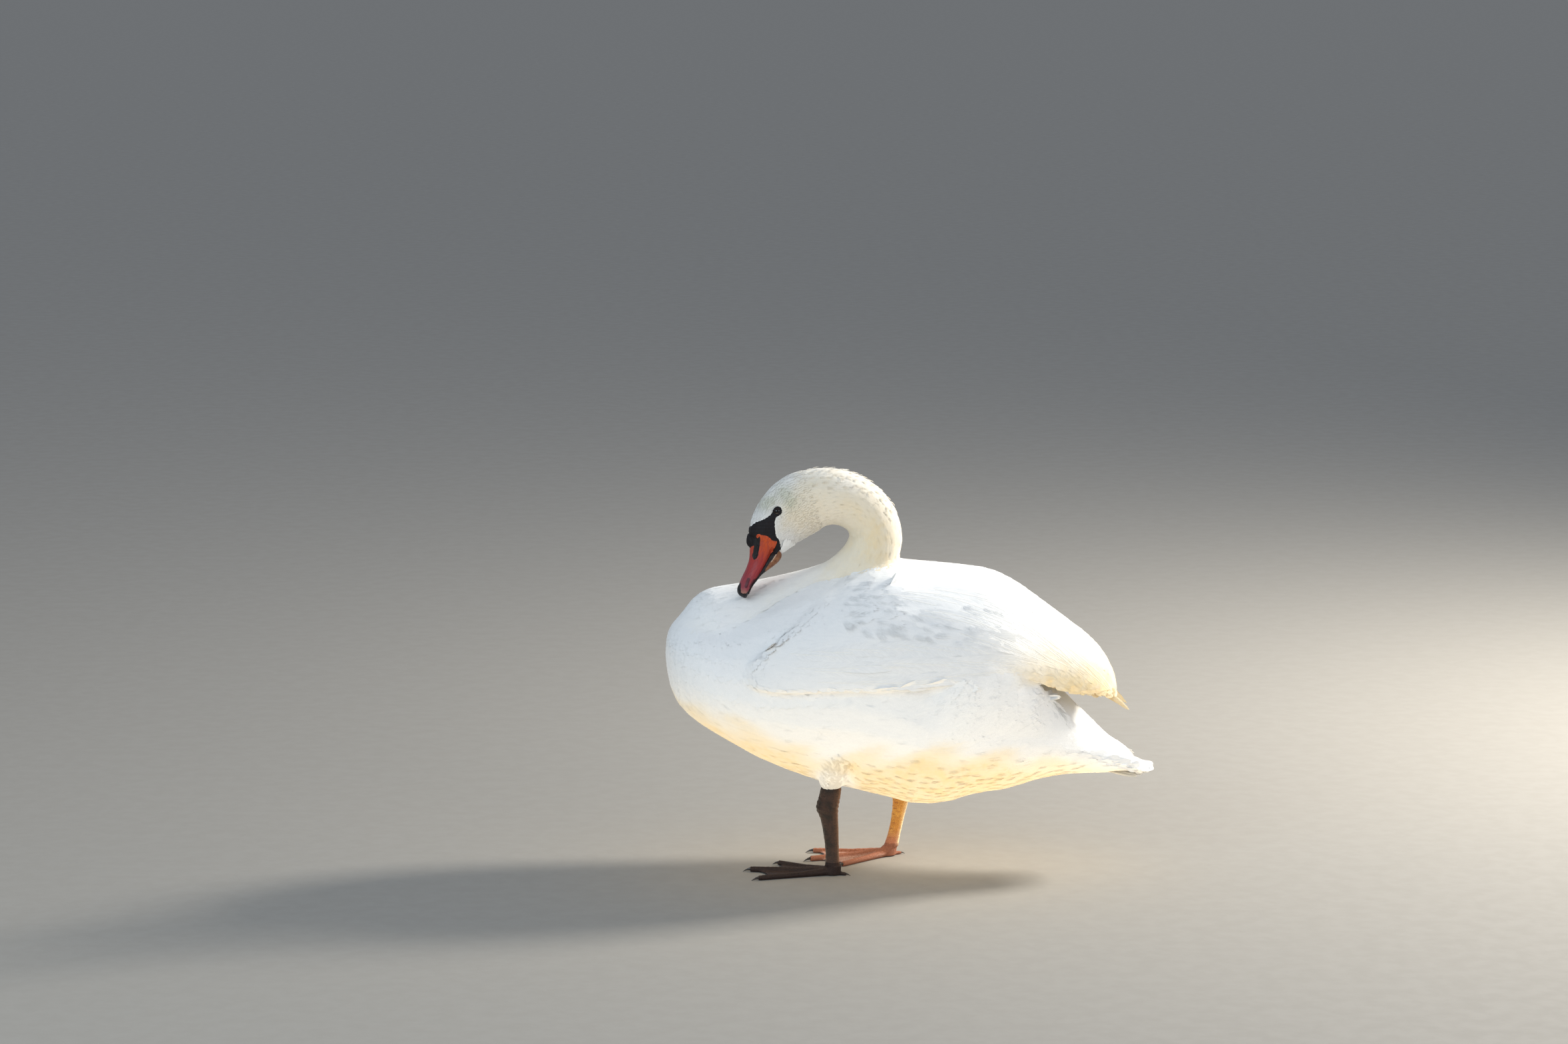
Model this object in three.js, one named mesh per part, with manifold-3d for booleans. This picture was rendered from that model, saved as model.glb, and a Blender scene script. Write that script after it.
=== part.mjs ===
// A standing mute swan that bends its neck back and down to preen its breast.
// Life size, in millimetres, +Z up. The bird faces -X and its left side faces -Y.
// Every solid is a loft: rings of points along a line, joined and closed at both ends.
import * as THREE from "three";
import { mergeVertices } from "three/addons/utils/BufferGeometryUtils.js";
import Module from "manifold-3d";

const wasm = await Module();
wasm.setup();

// ---- Driving dimensions ----
const GAP = 0.3; // clearance between touching pieces
const SEAM = 0.35; // share of a millimetre each wing keeps from the midline
const LEFT = -1; // the side of the bird, as a sign of Y
const RIGHT = 1;

// Trunk: [x, lowest z, highest z, half width] from the breast to the tail coverts.
const TRUNK = [
  [-375, 329, 341, 4],
  [-369, 288, 374, 54],
  [-353, 253, 391, 91],
  [-322, 226, 398, 121],
  [-282, 202, 398, 139],
  [-226, 170, 419, 149],
  [-145, 138, 456, 160],
  [-60, 118, 462, 161],
  [5, 101, 430, 159],
  [55, 104, 393, 154],
  [100, 118, 356, 145],
  [145, 124, 326, 130],
  [190, 138, 302, 110],
  [225, 145, 273, 91],
  [262, 148, 235, 73],
  [302, 150, 203, 60],
  [326, 152, 188, 53],
  [338, 154, 176, 46],
];
const TRUNK_WIDEST = 0.46; // share of the height at which the trunk is widest
const TRUNK_ROUNDNESS = 2.2; // 2 is an ellipse, more is boxier
const TRUNK_KEEL = 1.85; // the same for the underside, which narrows to the breastbone

// Flank feathers that stand off the trunk and cover the wing's lower edge: [x, lowest z,
// highest z, distance from the midline at the lowest and at the highest z, bulge, thickness].
const FLANK = [
  [0, 236, 268, 151, 150, 1, 6],
  [38, 226, 297, 154, 157, 2, 10],
  [77, 222, 323, 149, 156, 4, 16],
  [129, 220, 334, 134, 140, 7, 22],
  [173, 220, 318, 117, 117, 6, 24],
  [205, 218, 289, 101, 88, 4, 18],
  [230, 216, 262, 87, 76, 2, 10],
  [245, 214, 240, 80, 76, 0, 4],
];

// Neck and head: [x, y, z, half depth in the plane of the bend, half width].
const BREAST_BEND = 78; // radius of the round end of the neck inside the breast
const NECK = [
  [-280, 0, 364, 78, 81],
  [-221, 0, 387, 62, 66],
  [-145, -1, 415, 52, 54],
  [-101, -2, 438, 47.5, 47],
  [-68, -4, 474, 43.5, 42],
  [-55, -6, 508, 41, 38],
  [-57, -8, 531, 40, 37],
  [-71, -12, 556, 40.5, 36],
  [-101, -17, 575, 42.5, 36],
  [-135, -23, 579, 45, 36],
  [-167, -27.5, 569, 49.5, 35],
  [-191, -31.5, 551.5, 46.5, 32],
  [-209.5, -35.5, 531.5, 39.5, 27.5],
  [-223, -39.5, 510, 30, 21],
];
const NECK_CUTS = { lower: 3, middle: 7, upper: 9.5, head: 13 }; // station at which each length ends

// Head frame: the tip of the bill, the way the bill points, and the way its ridge faces.
const BILL_TIP = new THREE.Vector3(-256, -53, 429);
const BILL_POINTS = new THREE.Vector3(-0.406, -0.16, -0.914);
const BILL_RIDGE = new THREE.Vector3(-0.914, 0, 0.406);
// Bill: [distance back from the tip, ridge height, edge height, half width].
const BILL_UPPER = [
  [0.4, 3, -2.5, 4],
  [1.5, 7, -4, 9],
  [5, 11, -4.8, 13.5],
  [11, 13.2, -4.6, 16.3],
  [20, 14, -4.2, 17],
  [31, 14, -6.5, 16.6],
  [43, 13.6, -9.2, 16],
  [57, 15, -10.2, 16.2],
  [70, 19.5, -11.2, 17.4],
  [80, 24, -12.4, 18.8],
  [91, 29, -12.9, 20.2],
  [101, 33, -13, 21],
];
const BILL_LOWER = [
  [8, 0, -6, 8],
  [20, 0, -6.2, 11],
  [31, -2, -8.6, 12],
  [43, -4, -12, 13],
  [53, -5, -17.5, 14],
  [67, -6, -25.5, 15],
  [78, -7, -29.4, 16],
  [93, -8, -30, 17],
];
const KNOB = { back: 85, height: 19, length: 11, rise: 10.6, width: 10 };
const EYE = { back: 143, height: 6, aside: 24.5, radius: 7 };

// Wing: [x, lower edge z, upper edge z, half width of the bird there, top of the back,
// thickness, how far the upper edge dives into the shoulder].
const WING = [
  [-251, 327, 338, 149, 418, 6, 0],
  [-246, 316, 346, 155, 423, 10, 0],
  [-232, 308, 359, 162, 427, 13, 0],
  [-205, 305, 379, 168, 437, 14, 1],
  [-150, 308, 430, 174, 458, 14, 3],
  [-100, 309, 468, 175, 473, 14, 4],
  [-50, 310, 481, 174.5, 481, 14, 0],
  [-10, 314, 476, 172, 476, 13, 0],
  [50, 319, 471, 165, 471, 13, 0],
  [84, 326, 467, 158, 467, 13, 0],
  [110, 333, 464, 151, 464, 12, 0],
  [140, 334, 454, 141, 454, 12, 0],
  [175, 322, 433, 126, 433, 11, 0],
  [215, 302, 403, 107, 403, 10, 0],
  [258, 288, 371, 89, 371, 9, 0],
  [289, 284, 341, 72, 341, 8, 0],
  [305, 279, 314, 55, 314, 7, 0],
  [313, 275, 293, 40, 293, 5, 0],
];
const WING_WIDEST = 262; // z at which the folded wings are widest
const WING_ROUNDNESS = 2.25;
// Tips of the longest flight feathers: [x, y, z, half height, half thickness], left side.
const FLIGHT_TIP = [
  [236, -60, 301, 10, 3.2],
  [270, -52, 293, 9, 3.2],
  [300, -40, 277, 8, 3],
  [318, -32, 264, 6, 2.6],
  [333, -27, 251, 2.4, 1.6],
];
// Tail: [x, z, half thickness, half width].
const TAIL = [
  [262, 172, 7, 30],
  [300, 167, 7, 40],
  [330, 162, 6, 48],
  [352, 158, 4.6, 48],
  [366, 156, 3.6, 38],
  [373, 155.2, 3, 24],
  [375, 155, 2.4, 12],
];

// Legs: hip, hock and heel along X, the foot's turn inwards, and how much lower the thigh
// shows. The belly sags over the right leg.
const LEGS = {
  left: { side: LEFT, hip: -112, hock: -127, heel: -118, turn: 8, drop: 0 },
  right: { side: RIGHT, hip: 2, hock: -10, heel: -30, turn: 17, drop: 19 },
};
const LEG_ASIDE = 61; // distance of each leg from the midline
// Thigh feathers: [z, half length, half width, offset along X, offset outwards].
const THIGH = [
  [200, 46, 54, 0, 22],
  [172, 30, 40, 0, 16],
  [156, 24, 28, 0, 8],
  [143, 18.5, 18.5, 0, 2],
  [135.5, 14, 13, 0, 0],
];
// Bare leg: [z, half length, half width, offset along X, offset outwards].
const SHANK = [
  [139, 12.8, 11.2, 0, 0],
  [124, 13.4, 11.4, 0, 0],
  [112, 15.2, 12.4, -1, 0],
  [103, 15.6, 12.8, -1.5, 0],
  [92, 12.6, 10.6, 0, 0],
  [78, 11, 9.4, 1, 0],
  [45, 9.8, 8.6, 1, 0],
  [26, 10.4, 9.2, 0, 0],
  [15.2, 12, 10.6, -0.5, 0],
];
const HOCK_Z = 106;
// Toes: [turn outwards in degrees, length, root radius], and the hind toe.
const TOES = {
  inner: [-27, 103, 6.6],
  middle: [0, 129, 7.2],
  outer: [25, 120, 6.4],
  hind: [172, 20, 4.2],
};
const WEB = { top: 3.4, bottom: 1.2, dip: 0.8 }; // web heights, and how deep its front edge curves in
const CLAW = { length: 11, radius: 2.5 };

// ---- Colours ----
const paint = (color, roughness) =>
  new THREE.MeshStandardMaterial({ color, roughness, metalness: 0 });
const PLUMAGE = paint(0xf1efe8, 0.85);
const BILL_ORANGE = paint(0xb8442a, 0.45);
const LOWER_BILL = paint(0x7a4a33, 0.5);
const EYE_BLACK = paint(0x120d0b, 0.1);
const LEG_DARK = paint(0x30221b, 0.6);
const LEG_OCHRE = paint(0xb9752a, 0.6);
const CLAW_BLACK = paint(0x1b1613, 0.4);

// ---- Shapes ----
// A row between the rows of a table, by Catmull-Rom, at a station such as 2.5.
function rowAt(table, station) {
  const last = table.length - 1;
  const i = Math.min(Math.floor(station), last - 1);
  const t = station - i;
  const [p, q, r, s] = [i - 1, i, i + 1, i + 2].map(
    (k) => table[THREE.MathUtils.clamp(k, 0, last)],
  );
  return q.map(
    (_, k) =>
      0.5 *
      (2 * q[k] +
        (r[k] - p[k]) * t +
        (2 * p[k] - 5 * q[k] + 4 * r[k] - s[k]) * t * t +
        (3 * q[k] - p[k] - 3 * r[k] + s[k]) * t * t * t),
  );
}

// Evenly spaced numbers from a to b, both included.
const steps = (a, b, count) =>
  Array.from({ length: count + 1 }, (_, i) => a + ((b - a) * i) / count);

// A superellipse's point at an angle, on half axes of 1.
function squircle(angle, roundness) {
  const shape = (v) => Math.sign(v) * Math.abs(v) ** (2 / roundness);
  return [shape(Math.cos(angle)), shape(Math.sin(angle))];
}

// A ring about a centre, in the plane of the vectors across and up.
function ring(centre, across, up, shape) {
  const { width, rise, drop = rise, roundness = 2, keel = roundness, sides = 20 } = shape;
  return steps(0, 2 * Math.PI, sides)
    .slice(0, -1)
    .map((angle) => {
      const [c, s] = squircle(angle, angle > Math.PI ? keel : roundness);
      return centre
        .clone()
        .addScaledVector(across, width * c)
        .addScaledVector(up, s > 0 ? rise * s : drop * s);
    });
}

// One closed surface through rings that all have the same number of points.
function loft(rings) {
  const sides = rings[0].length;
  const middle = (points) =>
    points.reduce((sum, p) => sum.add(p), new THREE.Vector3()).divideScalar(sides);
  const points = [...rings.flat(), middle(rings[0]), middle(rings.at(-1))];
  const index = [];
  rings.slice(1).forEach((_, r) => {
    for (let i = 0; i < sides; i++) {
      const a = r * sides + i;
      const b = r * sides + ((i + 1) % sides);
      index.push(a, b, b + sides, a, b + sides, a + sides);
    }
  });
  const end = (rings.length - 1) * sides;
  for (let i = 0; i < sides; i++) {
    const j = (i + 1) % sides;
    index.push(rings.length * sides, j, i);
    index.push(rings.length * sides + 1, end + i, end + j);
  }
  return new THREE.BufferGeometry().setFromPoints(points).setIndex(index);
}

// A geometry as a solid for cutting and joining. One that faces inwards is turned round.
function solid(geometry) {
  const bare = geometry.clone();
  bare.deleteAttribute("normal");
  bare.deleteAttribute("uv");
  const merged = mergeVertices(bare, 1e-4);
  const build = (triVerts) =>
    new wasm.Manifold(
      new wasm.Mesh({
        numProp: 3,
        vertProperties: merged.attributes.position.array,
        triVerts,
      }),
    );
  const made = build(new Uint32Array(merged.index.array));
  return made.volume() > 0 ? made : build(new Uint32Array(merged.index.array).reverse());
}

// The largest piece of a solid, as a named mesh.
function mesh(name, made, material) {
  const whole = made.decompose().sort((a, b) => b.volume() - a.volume())[0];
  const { vertProperties, triVerts } = whole.getMesh();
  const geometry = new THREE.BufferGeometry()
    .setAttribute("position", new THREE.BufferAttribute(vertProperties, 3))
    .setIndex(new THREE.BufferAttribute(triVerts, 1));
  geometry.computeVertexNormals();
  const result = new THREE.Mesh(geometry, material);
  result.name = name;
  return result;
}

const X = new THREE.Vector3(1, 0, 0);
const Y = new THREE.Vector3(0, 1, 0);
const Z = new THREE.Vector3(0, 0, 1);

// ---- Trunk ----
function trunk(grow = 0) {
  const rings = steps(0, TRUNK.length - 1, 28).map((station) => {
    const [x, low, high, width] = rowAt(TRUNK, station);
    const widest = low + TRUNK_WIDEST * (high - low);
    return ring(new THREE.Vector3(x, 0, widest), Y, Z, {
      width: width + grow,
      rise: high - widest + grow,
      drop: widest - low + grow,
      roundness: TRUNK_ROUNDNESS,
      keel: TRUNK_KEEL,
      sides: 24,
    });
  });
  return solid(loft(rings)).add(flank(LEFT, grow)).add(flank(RIGHT, grow));
}

function flank(side, grow) {
  const around = 4;
  const rings = steps(0, FLANK.length - 1, 10).map((station) => {
    const [x, low, high, yLow, yHigh, bulge, thickness] = rowAt(FLANK, station);
    const wall = (share, depth) =>
      new THREE.Vector3(
        x,
        side * (THREE.MathUtils.lerp(yLow, yHigh, share) + bulge * Math.sin(Math.PI * share) - depth),
        THREE.MathUtils.lerp(low - grow, high + grow, share),
      );
    const shares = steps(0, 1, around);
    const outer = shares.map((share) => wall(share, -grow));
    const inner = shares.map((share) =>
      wall(share, 1.5 + grow + thickness * Math.sin(Math.PI * (0.3 + 0.6 * share))),
    );
    return [...outer, ...inner.reverse()];
  });
  return solid(loft(rings));
}

// ---- Neck and head, one line of rings ----
function neckRing(station, grow) {
  const [x, y, z, depth, width] = rowAt(NECK, station);
  const nudge = 0.02;
  const ahead = rowAt(NECK, Math.min(station + nudge, NECK.length - 1));
  const behind = rowAt(NECK, Math.max(station - nudge, 0));
  const along = new THREE.Vector3(
    ahead[0] - behind[0],
    ahead[1] - behind[1],
    ahead[2] - behind[2],
  ).normalize();
  const outward = new THREE.Vector3().crossVectors(Y, along).normalize();
  const across = new THREE.Vector3().crossVectors(along, outward);
  return {
    points: ring(new THREE.Vector3(x, y, z), across, outward, {
      width: width + grow,
      rise: depth + grow,
      sides: 16,
    }),
    centre: new THREE.Vector3(x, y, z),
    along,
  };
}

// The neck's round end in the breast: rings that shrink to a point behind its first station.
function breastEnd(grow) {
  const first = neckRing(0, grow);
  return steps(0.06, Math.PI / 2, 5)
    .slice(0, -1)
    .map((angle) =>
      first.points.map((p) =>
        p
          .clone()
          .sub(first.centre)
          .multiplyScalar(Math.sin(angle))
          .add(first.centre)
          .addScaledVector(first.along, -BREAST_BEND * Math.cos(angle)),
      ),
    );
}

// A length of the neck between two stations. Its far end stops short by the gap.
function neckLength(from, to, count, grow = 0) {
  const stop = to - (to < NECK.length - 1 ? GAP / 30 : 0);
  const rings = steps(from, stop, count).map((s) => neckRing(s, grow).points);
  return solid(loft(from === 0 ? [...breastEnd(grow), ...rings] : rings));
}

// ---- Head frame ----
const back = BILL_POINTS.clone().normalize().negate();
const ridge = BILL_RIDGE.clone().addScaledVector(back, -BILL_RIDGE.dot(back)).normalize();
const aside = new THREE.Vector3().crossVectors(ridge, back);
const headFrame = new THREE.Matrix4().makeBasis(back, aside, ridge).setPosition(BILL_TIP);

// A bill half, in the head frame: X runs back from the tip and Z to the ridge.
function mandible(table, count, roundness, grow = 0) {
  const rings = steps(0, table.length - 1, count).map((station) => {
    const [x, high, low, width] = rowAt(table, station);
    const widest = low + (high - low) * 0.3;
    return ring(new THREE.Vector3(x, 0, widest), Y, Z, {
      width: width + grow,
      rise: high - widest + grow,
      drop: widest - low + grow,
      roundness,
      sides: 14,
    });
  });
  return solid(loft(rings).applyMatrix4(headFrame));
}

function knob() {
  const ball = new THREE.SphereGeometry(1, 12, 8);
  ball.scale(KNOB.length, KNOB.width, KNOB.rise);
  ball.translate(KNOB.back, 0, KNOB.height);
  return solid(ball.applyMatrix4(headFrame));
}

function eye(side, grow = 0) {
  const ball = new THREE.SphereGeometry(EYE.radius + grow, 10, 6);
  ball.translate(EYE.back, EYE.aside * side, EYE.height);
  return solid(ball.applyMatrix4(headFrame));
}

// ---- Wings ----
// The point of a folded wing's skin at an angle, on a section shrunk inwards by a depth.
function wingPoint(side, x, angle, width, top, depth) {
  const [c, s] = squircle(angle, WING_ROUNDNESS);
  return new THREE.Vector3(
    x,
    side * Math.max((width - depth) * c, SEAM),
    WING_WIDEST + (top - WING_WIDEST - depth) * s,
  );
}

// The angle on a wing's section at which its skin reaches a height.
function angleAt(z, top) {
  const share = THREE.MathUtils.clamp((z - WING_WIDEST) / (top - WING_WIDEST), 0, 1);
  return Math.asin(share ** (WING_ROUNDNESS / 2));
}

function wing(side, grow = 0) {
  const around = 7;
  const rings = steps(0, WING.length - 1, 24).map((station) => {
    const [x, low, high, width, top, thickness, dive] = rowAt(WING, station);
    const angles = steps(angleAt(low - grow, top), angleAt(Math.min(high, top), top), around);
    const skin = (depth) =>
      angles.map((a, i) => {
        const sunk = dive * THREE.MathUtils.smoothstep(i / around, 0.25, 1);
        return wingPoint(side, x, a, width, top, depth + sunk);
      });
    return [...skin(-grow), ...skin(thickness + grow).reverse()];
  });
  return solid(loft(rings));
}

function flightTip(side) {
  const rings = steps(0, FLIGHT_TIP.length - 1, 6).map((station) => {
    const [x, y, z, height, thickness] = rowAt(FLIGHT_TIP, station);
    return ring(new THREE.Vector3(x, -y * side, z), Y, Z, {
      width: thickness,
      rise: height,
      sides: 8,
    });
  });
  return solid(loft(rings));
}

// ---- Tail ----
function tail() {
  const rings = steps(0, TAIL.length - 1, 8).map((station) => {
    const [x, z, thickness, width] = rowAt(TAIL, station);
    return ring(new THREE.Vector3(x, 0, z), Y, Z, { width, rise: thickness, sides: 14 });
  });
  return solid(loft(rings));
}

// ---- Legs ----
// The leg's line at a height: straight from hip to hock and from hock to heel.
function legLine({ hip, hock, heel }, z) {
  const hipZ = THIGH[0][0];
  return z > HOCK_Z
    ? THREE.MathUtils.mapLinear(z, HOCK_Z, hipZ, hock, hip)
    : THREE.MathUtils.mapLinear(z, 0, HOCK_Z, heel, hock);
}

function limb(leg, table, count, sides, drop = 0) {
  const rings = steps(0, table.length - 1, count).map((station) => {
    const [height, length, width, offset, outwards] = rowAt(table, station);
    const z = height - drop;
    const y = leg.side * (LEG_ASIDE + outwards);
    const centre = new THREE.Vector3(legLine(leg, z) + offset, y, z);
    return ring(centre, X, Y, { width: length, rise: width, sides });
  });
  return solid(loft(rings));
}

// A toe's outline from its root: the way it runs, and the centre and radius along it.
function toeLine(side, [turn, length, radius]) {
  const angle = THREE.MathUtils.degToRad(turn) * -side;
  const way = new THREE.Vector3(-Math.cos(angle), -Math.sin(angle), 0);
  const knuckle = (share) => 1 - 0.42 * share + 0.07 * Math.cos(share * 6 * Math.PI);
  return { way, length, radiusAt: (share) => radius * knuckle(share) };
}

function toe(side, spec, from = 0, to = 1) {
  const { way, length, radiusAt } = toeLine(side, spec);
  const across = new THREE.Vector3().crossVectors(Z, way);
  const rings = steps(from, to, 4).map((share) => {
    const radius = radiusAt(share);
    const centre = way.clone().multiplyScalar(length * share).setZ(radius * 0.88);
    return ring(centre, across, Z, { width: radius, rise: radius, sides: 7 });
  });
  return solid(loft(rings));
}

// A plate between two toes whose front edge dips in.
function web(side, a, b) {
  const [from, to] = [toeLine(side, a), toeLine(side, b)];
  const shape = new THREE.Shape();
  shape.moveTo(0, 0);
  const reach = 0.93;
  const tip = (t) => t.way.clone().multiplyScalar(t.length * reach);
  const [p, q] = [tip(from), tip(to)];
  const dip = p.clone().add(q).multiplyScalar(0.5 * WEB.dip);
  shape.lineTo(p.x, p.y);
  shape.quadraticCurveTo(dip.x, dip.y, q.x, q.y);
  shape.lineTo(0, 0);
  const plate = new THREE.ExtrudeGeometry(shape, {
    depth: WEB.top - WEB.bottom,
    bevelEnabled: false,
    curveSegments: 4,
  });
  return solid(plate.translate(0, 0, WEB.bottom));
}

// What lies above the floor, as a block that cuts the toes to flats.
function aboveFloor() {
  const block = new THREE.BoxGeometry(600, 600, 60);
  return solid(block.translate(0, 0, 30));
}

function foot(side) {
  const ankle = ring(new THREE.Vector3(0, 0, 14.9), X, Y, { width: 12, rise: 10.8, sides: 12 });
  const sole = ring(new THREE.Vector3(-3, 0, 1), X, Y, { width: 13.5, rise: 11.5, sides: 12 });
  return Object.values(TOES)
    .map((spec) => toe(side, spec))
    .reduce((sum, piece) => sum.add(piece), solid(loft([sole, ankle])))
    .add(web(side, TOES.inner, TOES.middle))
    .add(web(side, TOES.middle, TOES.outer))
    .intersect(aboveFloor());
}

function claw(side, spec) {
  const { way, length, radiusAt } = toeLine(side, spec);
  const across = new THREE.Vector3().crossVectors(Z, way);
  const size = spec === TOES.hind ? 0.6 : 1;
  const startZ = radiusAt(1) * 0.95;
  const rings = steps(0, 1, 2).map((share) => {
    const radius = CLAW.radius * size * (1 - 0.85 * share);
    const reach = length + GAP + CLAW.length * size * share;
    const centre = way.clone().multiplyScalar(reach);
    centre.setZ(THREE.MathUtils.lerp(startZ, radius, share ** 1.5));
    return ring(centre, across, Z, { width: radius, rise: radius, sides: 6 });
  });
  return solid(loft(rings));
}

// ---- The swan ----
const swan = new THREE.Group();
swan.name = "mute_swan";

const body = trunk();
const bodyCut = trunk(GAP);
const neckCut = neckLength(0, NECK_CUTS.head, 60, GAP);
const { lower, middle, upper, head } = NECK_CUTS;
const sockets = eye(LEFT, GAP).add(eye(RIGHT, GAP));
const bill = mandible(BILL_UPPER, 14, 1.9).add(knob());
const billCut = mandible(BILL_UPPER, 14, 1.9, GAP);
const headSolid = neckLength(upper, head, 11).subtract(sockets);

swan.add(mesh("trunk", body, PLUMAGE));
swan.add(mesh("neck_lower", neckLength(0, lower, 8).subtract(bodyCut), PLUMAGE));
swan.add(mesh("neck_middle", neckLength(lower, middle, 9).subtract(bodyCut), PLUMAGE));
swan.add(mesh("neck_upper", neckLength(middle, upper, 6), PLUMAGE));
swan.add(mesh("head", headSolid, PLUMAGE));

const headCut = neckLength(upper, head, 11, GAP);
const billSolid = bill.subtract(headCut);
swan.add(mesh("bill_upper", billSolid, BILL_ORANGE));
const chin = mandible(BILL_LOWER, 8, 2).subtract(billCut).subtract(headCut);
swan.add(mesh("bill_lower", chin, LOWER_BILL));
swan.add(mesh("tail", tail().subtract(bodyCut), PLUMAGE));

for (const [name, leg] of Object.entries(LEGS)) {
  const { side } = leg;
  const horn = side === LEFT ? LEG_DARK : LEG_OCHRE;
  swan.add(mesh(`eye_${name}`, eye(side), EYE_BLACK));
  const tip = flightTip(side);
  const plume = wing(side).subtract(bodyCut).subtract(neckCut);
  swan.add(mesh(`wing_${name}`, plume, PLUMAGE));
  swan.add(mesh(`flight_tip_${name}`, tip.subtract(bodyCut).subtract(wing(side, GAP)), PLUMAGE));
  const thigh = limb(leg, THIGH, 7, 16, leg.drop);
  const thighCut = limb(leg, THIGH, 7, 16, leg.drop + GAP);
  swan.add(mesh(`thigh_${name}`, thigh.subtract(bodyCut), PLUMAGE));
  const shank = limb(leg, SHANK, 11, 10).subtract(thighCut);
  swan.add(mesh(`leg_${name}`, shank.subtract(bodyCut), horn));

  const footGroup = new THREE.Group();
  footGroup.position.set(leg.heel, leg.side * LEG_ASIDE, 0);
  footGroup.rotation.z = THREE.MathUtils.degToRad(leg.turn) * side;
  footGroup.add(mesh(`foot_${name}`, foot(side), horn));
  for (const [toeName, spec] of Object.entries(TOES)) {
    footGroup.add(mesh(`claw_${name}_${toeName}`, claw(side, spec), CLAW_BLACK));
  }
  swan.add(footGroup);
}

export default swan;
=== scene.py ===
"""A standing, life-size mute swan that preens its breast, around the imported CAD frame.

The skin is one surface remeshed from the flesh nodes and sunk by the coat's depth. Every feather
is a closed vane that starts on the skin, follows it downstream and lifts to the coat's surface.
Lengths in tables are millimetres; the scene is in metres. The bird faces -X, its left is -Y.
"""
import math

import bmesh
import bpy
import numpy as np
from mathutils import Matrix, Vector
from mathutils.bvhtree import BVHTree
from mathutils.kdtree import KDTree


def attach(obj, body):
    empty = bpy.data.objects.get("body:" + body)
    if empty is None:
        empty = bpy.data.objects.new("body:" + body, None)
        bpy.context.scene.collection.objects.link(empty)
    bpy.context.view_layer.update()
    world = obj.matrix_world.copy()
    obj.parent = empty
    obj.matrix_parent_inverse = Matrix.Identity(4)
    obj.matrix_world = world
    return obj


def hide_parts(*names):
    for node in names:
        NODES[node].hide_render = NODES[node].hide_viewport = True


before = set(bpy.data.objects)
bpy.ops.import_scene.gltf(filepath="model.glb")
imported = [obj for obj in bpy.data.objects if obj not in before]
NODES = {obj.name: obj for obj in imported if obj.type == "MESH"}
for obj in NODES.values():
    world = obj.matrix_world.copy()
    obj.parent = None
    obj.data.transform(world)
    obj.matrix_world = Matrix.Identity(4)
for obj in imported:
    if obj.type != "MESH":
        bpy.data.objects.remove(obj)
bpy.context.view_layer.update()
MM = 0.001
RNG = np.random.default_rng(41)
SCENE = bpy.context.scene


# ---- Small helpers ----
def unit(v):
    return v / np.maximum(np.linalg.norm(v, axis=-1, keepdims=True), 1e-12)


def smooth(value, low, high):
    t = np.clip((value - low) / (high - low), 0, 1)
    return t * t * (3 - 2 * t)


def dot(a, b):
    return np.sum(a * b, axis=-1, keepdims=True)


def flat(v, n):
    """v without its part along the normals n, at length 1."""
    return unit(v - n * dot(v, n))


def row_at(table, station):
    """Rows between the rows of a table, by Catmull-Rom, at stations such as 2.5."""
    table = np.asarray(table, float)
    station = np.asarray(station, float)
    last = len(table) - 1
    i = np.clip(np.floor(station).astype(int), 0, last - 1)
    t = (station - i)[..., None]
    p, q, r, s = (table[np.clip(i + k, 0, last)] for k in (-1, 0, 1, 2))
    return 0.5 * (
        2 * q
        + (r - p) * t
        + (2 * p - 5 * q + 4 * r - s) * t**2
        + (3 * q - p - 3 * r + s) * t**3
    )


def link(name, mesh, materials=()):
    ob = bpy.data.objects.new(name, mesh)
    SCENE.collection.objects.link(ob)
    for material in materials:
        mesh.materials.append(material)
    return ob


def declare(ob, slot, *nodes):
    """Attaches a piece to the root, and hides the CAD nodes it stands for. The slot is not used."""
    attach(ob, "root")
    if nodes:
        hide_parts(*nodes)


def mesh_from(name, verts, faces):
    """A smooth mesh from vertices in metres and faces as rows of vertex numbers."""
    mesh = bpy.data.meshes.new(name)
    sizes = np.array([len(face) for face in faces])
    corners = np.concatenate(faces).astype(np.int32)
    starts = (np.cumsum(sizes) - sizes).astype(np.int32)
    mesh.vertices.add(len(verts))
    mesh.vertices.foreach_set("co", np.asarray(verts, np.float32).ravel())
    mesh.loops.add(len(corners))
    mesh.loops.foreach_set("vertex_index", corners)
    mesh.polygons.add(len(sizes))
    mesh.polygons.foreach_set("loop_start", starts)
    mesh.update(calc_edges=True)
    shade_smooth(mesh)
    return mesh


def shade_smooth(mesh):
    mesh.polygons.foreach_set("use_smooth", np.ones(len(mesh.polygons), bool))


def move(mesh, co):
    mesh.vertices.foreach_set("co", co.astype(np.float32).ravel())
    shade_smooth(mesh)
    mesh.update()


def face_outward(mesh, thickness=0.0):
    """Turns a mesh's faces outward. A sheet is given a thickness in metres too."""
    bm = bmesh.new()
    bm.from_mesh(mesh)
    bmesh.ops.recalc_face_normals(bm, faces=bm.faces)
    if thickness:
        bmesh.ops.solidify(bm, geom=bm.faces, thickness=thickness)
    bm.to_mesh(mesh)
    bm.free()


def fetch(items, field, width=3, kind=np.float32):
    """A field of a mesh's items, with a row for each item."""
    out = np.empty(len(items) * width, kind)
    items.foreach_get(field, out)
    return out.reshape(-1, width)


def coords(mesh):
    return fetch(mesh.vertices, "co").astype(float)


def vertex_normals(mesh):
    return fetch(mesh.vertex_normals, "vector").astype(float)


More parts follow.
